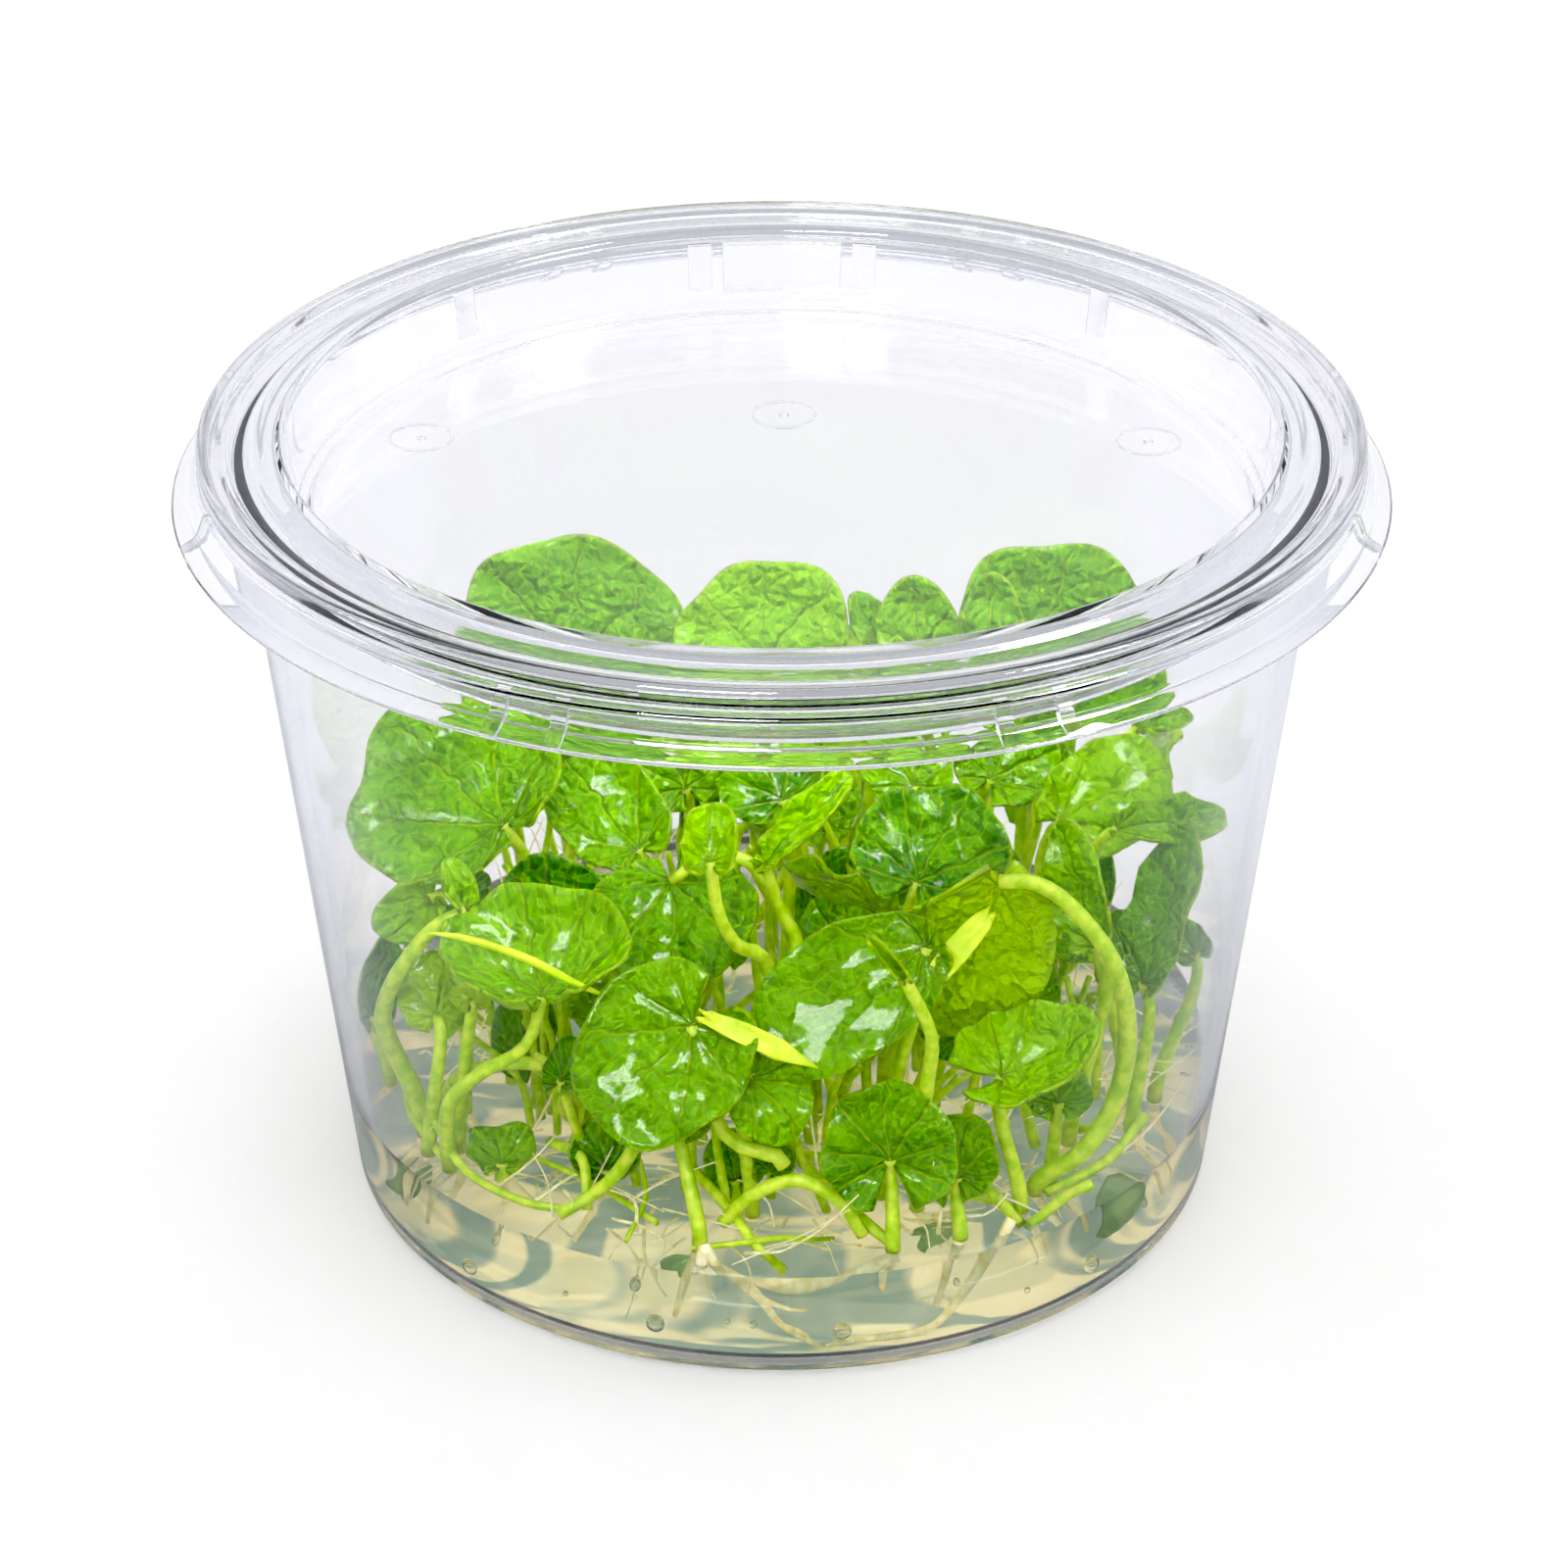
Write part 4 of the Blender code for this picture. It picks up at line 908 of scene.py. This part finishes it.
# %% Young leaves
YOUNG_LEAVES = 46
crowd = bmesh.new()
for _ in range(YOUNG_LEAVES):
    foot = scattered(33, 0.02, 0)
    length, foot.z = draw(3.0, 6.5), draw(13.5, 30)
    lean = drawn((-0.7, 0.7), (-0.7, 0.7), (0.2, 1))
    leaf = Leaf("young", tuple(foot), tuple(foot + lean.normalized() * length), length * draw(0.9, 1.3),
                (draw(-130, -50), draw(20, 60)), (foot.x * 0.9, foot.y * 0.9),
                cup=draw(0, 1), youth=draw(0, 0.5), wave=0.2)
    grow_blade(crowd, leaf, SMALL_BLADE, 30, 6)
    curve = stalk_curve(leaf, 3)
    tube(crowd, curve, [0.45] * len(curve), sides=6, material=1)
piece("young_leaves", crowd, [LEAF, STALK], slot="plant")

# %% [markdown]
# ## Thin stalks, roots and hairs
#
# Between the leaf stalks stand many thin ones. Cream roots grow down through the gel, a few of them long
# and forked just behind the wall, and fine hairs cross the space above it.

# %% Roots through the gel
ROOT_LINES = (
    (((-6.7, -36.9, 10.3), (-6.4, -37, 12.2), (-4.9, -36.9, 9.4), (-1.8, -36.9, 6.7), (0.1, -36.7, 4.2),
      (3.4, -36.3, 1.9)), 0.55, 0.2),
    (((19.4, -31.5, 11.4), (18.1, -32.7, 9.4), (16.5, -33.3, 7.1), (14.5, -33.8, 4.6), (13.4, -34.2, 3.4),
      (11.9, -34.6, 2.6), (8.6, -35.5, 2.5), (5.6, -36.2, 2.6), (3.7, -36.3, 2)), 0.5, 0.25),
    (((-5.9, -36.2, 10), (-3.1, -36.4, 8.2), (0.5, -36.4, 7.2), (3.5, -36.3, 7.6), (6.4, -36, 8.8),
      (9.6, -35.4, 10.2)), 0.4, 0.55),
    (((0.1, -36.7, 4.2), (1.6, -36.2, 3.4), (2.6, -35.8, 2.4)), 0.25, 0.1),
    (((-1.8, -36.9, 6.7), (0.6, -36.6, 5.6), (2.2, -36.2, 5.2)), 0.2, 0.08),
    (((14.5, -33.8, 4.6), (13, -34.2, 5.4), (11, -34.6, 5.2)), 0.2, 0.08),
)
FINE_ROOTS, FRONT_ROOTS = 90, 60


def within(spot, margin):
    """The nearest place to a spot that stays inside the cup's wall."""
    limit = wall_radius(spot.z) - WALL - margin
    out = math.hypot(spot.x, spot.y)
    return spot if out <= limit else Vector((spot.x * limit / out, spot.y * limit / out, spot.z))


def wander(spot, heading, steps, sway, stride, depths, margin):
    """Places along a root that turns a little at every step and stays between two heights."""
    line = [spot]
    for _ in range(steps):
        heading += drawn(*sway)
        spot = spot + heading.normalized() * draw(*stride)
        spot.z = min(max(spot.z, depths[0]), depths[1])
        line.append(within(spot, margin))
    return line


roots = bmesh.new()
for places, first, last in ROOT_LINES:
    strand(roots, places, first, last, 5, 8)
for leaf in LEAVES:
    if len(leaf.foot) == 2:
        foot = Vector((*leaf.foot, GEL_TOP + 0.2))
        lean = Vector((draw(-2.5, 2.5), draw(-2.5, 2.5), -6))
        places = (foot, within(foot + lean * 0.4, 1.2), within(foot + lean, 1.2))
        strand(roots, places, leaf.stem * 0.95, 0.25, 4, 8)
for _ in range(FINE_ROOTS):
    spot = scattered(35, 0.05, 10.2)
    heading = Vector((draw(-1, 1), draw(-1, 1), -0.6))
    line = wander(spot, heading, 4, ((-0.6, 0.6), (-0.6, 0.6), (-0.3, 0.2)), (1.2, 3.2), (2.6, math.inf), 0.9)
    strand(roots, line, draw(0.12, 0.3), 0.06, 3, 5)
for _ in range(FRONT_ROOTS):
    bearing, out = math.radians(draw(-150, -30)), draw(26, 35.5)
    spot = Vector((out * math.cos(bearing), out * math.sin(bearing), draw(7.5, 10.3)))
    heading = drawn((-1, 1), (-0.6, 0.4), (-0.5, 0.2))
    line = wander(spot, heading, 3, ((-0.5, 0.5), (-0.4, 0.4), (-0.3, 0.3)), (1.0, 2.6), (3.0, 10.2), 0.8)
    strand(roots, line, draw(0.1, 0.22), 0.05, 3, 5)
piece("cream_roots", roots, [ROOT], slot="plant")

# %% Thin stalks
LYING_STEMS = (
    (((-29.6, -16.3, 11.5), (-23.8, -20.3, 11.3), (-16.7, -25.6, 11.4), (-10.5, -31.8, 11.2)), 0.3),
    (((-18.9, -30.6, 11.2), (-14.9, -29, 13.2), (-11.7, -24.1, 14.5)), 0.55),
    (((-8.3, -25.6, 13.5), (-4.8, -31, 12.5), (-2.3, -34.6, 11), (0.2, -35.8, 8.6)), 0.5),
    (((-1.5, -22.6, 15.5), (3.6, -29.4, 13.5), (6.9, -33.1, 12.3), (9.2, -34.9, 11.2)), 0.55),
    (((13.7, -25.6, 12.5), (17.8, -29, 12.3), (20.3, -30.6, 10)), 0.6),
    (((26.2, -29.2, 13.5), (23.9, -29.6, 12.4), (20.6, -31, 10)), 0.5),
    (((-13.1, -34.2, 11), (-11.6, -29.4, 12), (-12.1, -26.4, 14)), 0.25),
    (((4.4, -32.4, 9.6), (0.2, -33.8, 11), (-3.1, -34.9, 11.3), (-7.6, -35.3, 11)), 0.3),
    (((-33, -14, 14), (-32, -17.5, 12.5), (-28.5, -23, 11.2)), 0.45),
    (((-30, -21, 15), (-27, -25, 12), (-22, -28.5, 11.2), (-18, -29.8, 11.2)), 0.4),
    (((31.5, -18, 13), (28, -23, 11.8), (22.5, -27.5, 11.4)), 0.5),
    (((-20, -22, 13), (-17, -27, 14.5), (-16.5, -30, 11.3)), 0.5),
)
THIN_STALKS = 130
stalks = bmesh.new()
for places, radius in LYING_STEMS:
    strand(stalks, places, radius, radius * 0.9, 5, 8)
for _ in range(THIN_STALKS):
    foot = scattered(30, 0.03, GEL_TOP + 0.2)
    lean = drawn((-7, 7), (-7, 7), (6, 20))
    middle = foot + lean * 0.5 + Vector((draw(-2, 2), draw(-2, 2), 0))
    strand(stalks, (foot, within(middle, 1.2), within(foot + lean, 1.2)), draw(0.35, 0.6), 0.3, 4, 7)
piece("thin_stalks", stalks, [STALK], slot="plant")

# %% Fine hairs
FINE_HAIRS = 240
hairs = bmesh.new()
for _ in range(FINE_HAIRS):
    foot = scattered(36, 0.1, GEL_TOP + 0.1)
    lean = drawn((-8, 8), (-8, 8), (0.3, 9))
    middle = foot + lean * 0.5 + drawn((-1, 1), (-1, 1), (0, 1))
    places = (within(foot, 0.5), within(middle, 0.5), within(foot + lean, 0.5))
    strand(hairs, places, draw(0.08, 0.2), 0.05, 3, 5)
piece("fine_root_hairs", hairs, [ROOT], slot="plant")
print("roots, stalks and hairs made")

# %% [markdown]
# ## Floor, light and camera
#
# The photograph is a bright studio picture on white. The camera looks down at 29 degrees through a long
# lens, two soft lamps hang above, and the white surroundings light the plants through the plastic. The
# plastic in the picture hardly mirrors anything, so mirrored rays meet a darker floor and sky.

# %% Floor
def mirrored_share(tree):
    """How far a mirrored ray turns dim: most after one mirroring, and less after several inside a rim."""
    ray = add(tree, "LightPath")
    once = add(tree, "MapRange", {"Value": ray.outputs["Glossy Depth"], "From Min": 1.0, "From Max": 2.0,
                                  "To Min": 0.85, "To Max": 0.3})
    direct = add(tree, "Math", {0: ray.outputs["Diffuse Depth"], 1: 0.5}, operation="LESS_THAN")
    shown = add(tree, "Math", {0: once, 1: direct}, operation="MULTIPLY")
    return add(tree, "Math", {0: ray.outputs["Glossy Depth"], 1: shown}, operation="MINIMUM")


def dim_tone(tree, distance, start, end, near):
    """The tone that a dimmed ray meets: darker toward the camera's side and pale beyond the cup."""
    beyond = add(tree, "MapRange", {"Value": distance, "From Min": start, "From Max": end})
    return add(tree, "Mix", {0: beyond, 6: linear(near), 7: linear("#BCBEC6")}, data_type="RGBA")


def matt_white():
    made, tree, shader = new_material("matt_white_paper")
    place = add(tree, "TexCoord").outputs["Object"]
    ahead = add(tree, "SeparateXYZ", {"Vector": place}).outputs["Y"]
    dim = dim_tone(tree, ahead, -0.05, 0.05, "#58585C")
    shade = add(tree, "Mix", {0: mirrored_share(tree), 6: linear("#E0E0E0"), 7: dim}, data_type="RGBA")
    feed(shader, {"Base Color": shade, "Roughness": 1.0, "Specular IOR Level": 0.0,
                  "Emission Color": shade, "Emission Strength": 0.27})
    return made


FLOOR_SIZE = 3000.0
floor_mesh = bmesh.new()
bmesh.ops.create_grid(floor_mesh, x_segments=1, y_segments=1, size=FLOOR_SIZE * MM)
floor_data = bpy.data.meshes.new("paper_floor")
floor_mesh.to_mesh(floor_data)
floor_mesh.free()
floor_data.materials.append(matt_white())
floor = bpy.data.objects.new("paper_floor", floor_data)
SCENE.collection.objects.link(floor)

# %% Surroundings
world = bpy.data.worlds.new("white_studio")
SCENE.world = world
world.use_nodes = True
sky = world.node_tree
place = add(sky, "TexCoord").outputs["Generated"]
_, ahead, up = add(sky, "SeparateXYZ", {"Vector": place}).outputs
back = add(sky, "Math", {0: ahead, 1: 0.4, 2: up}, operation="MULTIPLY_ADD")
rise = add(sky, "MapRange", {"Value": back, "From Min": -0.3, "From Max": 0.5})
shade = add(sky, "Mix", {0: rise, 6: linear("#C2C4C8"), 7: linear("#FFFFFF")}, data_type="RGBA")
level = add(sky, "Math", {0: up, 1: -2.0, 2: ahead}, operation="MULTIPLY_ADD")
dim = dim_tone(sky, level, -0.6, 1.3, "#84888E")
mirrored = add(sky, "Mix", {0: mirrored_share(sky), 6: shade, 7: dim}, data_type="RGBA")
feed(sky.nodes["Background"], {"Color": mirrored, "Strength": 1.25})
world.cycles.sampling_method = "NONE"

# %% Lamps
LAMP_AIM = Vector((0, 0, 30))


def soft_lamp(name, spot, width, depth, watts):
    data = bpy.data.lights.new(name, "AREA")
    data.shape = "RECTANGLE"
    data.size, data.size_y = width * MM, depth * MM
    data.energy = watts
    lamp = bpy.data.objects.new(name, data)
    lamp.location = Vector(spot) * MM
    lamp.rotation_euler = (LAMP_AIM - Vector(spot)).to_track_quat("-Z", "Y").to_euler()
    lamp.visible_diffuse = False
    SCENE.collection.objects.link(lamp)


soft_lamp("soft_lamp_front", (-110, -380, 480), 200, 150, 8.0)
soft_lamp("soft_lamp_right", (330, -120, 480), 160, 160, 5.0)

# %% Camera
PHOTO_WIDTH = 1600     # pixels
FOCAL_LENGTH = 4822.0  # in the photograph's pixels
PHOTO_AXIS = 797.7     # pixels from the left edge to the cup's axis
LOOKS_DOWN = 29.01     # degrees
view = bpy.data.cameras.new("camera")
view.sensor_width = 36.0
view.lens = FOCAL_LENGTH / PHOTO_WIDTH * view.sensor_width
view.shift_x = (PHOTO_WIDTH / 2 - PHOTO_AXIS) / PHOTO_WIDTH
camera = bpy.data.objects.new("camera", view)
camera.location = (0, -366.4 * MM, 239.2 * MM)
camera.rotation_euler = (math.radians(90 - LOOKS_DOWN), 0, 0)
SCENE.collection.objects.link(camera)
SCENE.camera = camera

# %% Contrast
tone = SCENE.view_settings
tone.view_transform = "Standard"
tone.use_curve_mapping = True
tone.curve_mapping.black_level = (0.045, 0.045, 0.045)

# %% Light paths
paths = SCENE.cycles
paths.use_adaptive_sampling = True
paths.adaptive_threshold = 0.1
paths.adaptive_min_samples = 12
paths.max_bounces = 40
paths.transmission_bounces = 32
paths.diffuse_bounces = 3
paths.glossy_bounces = 32
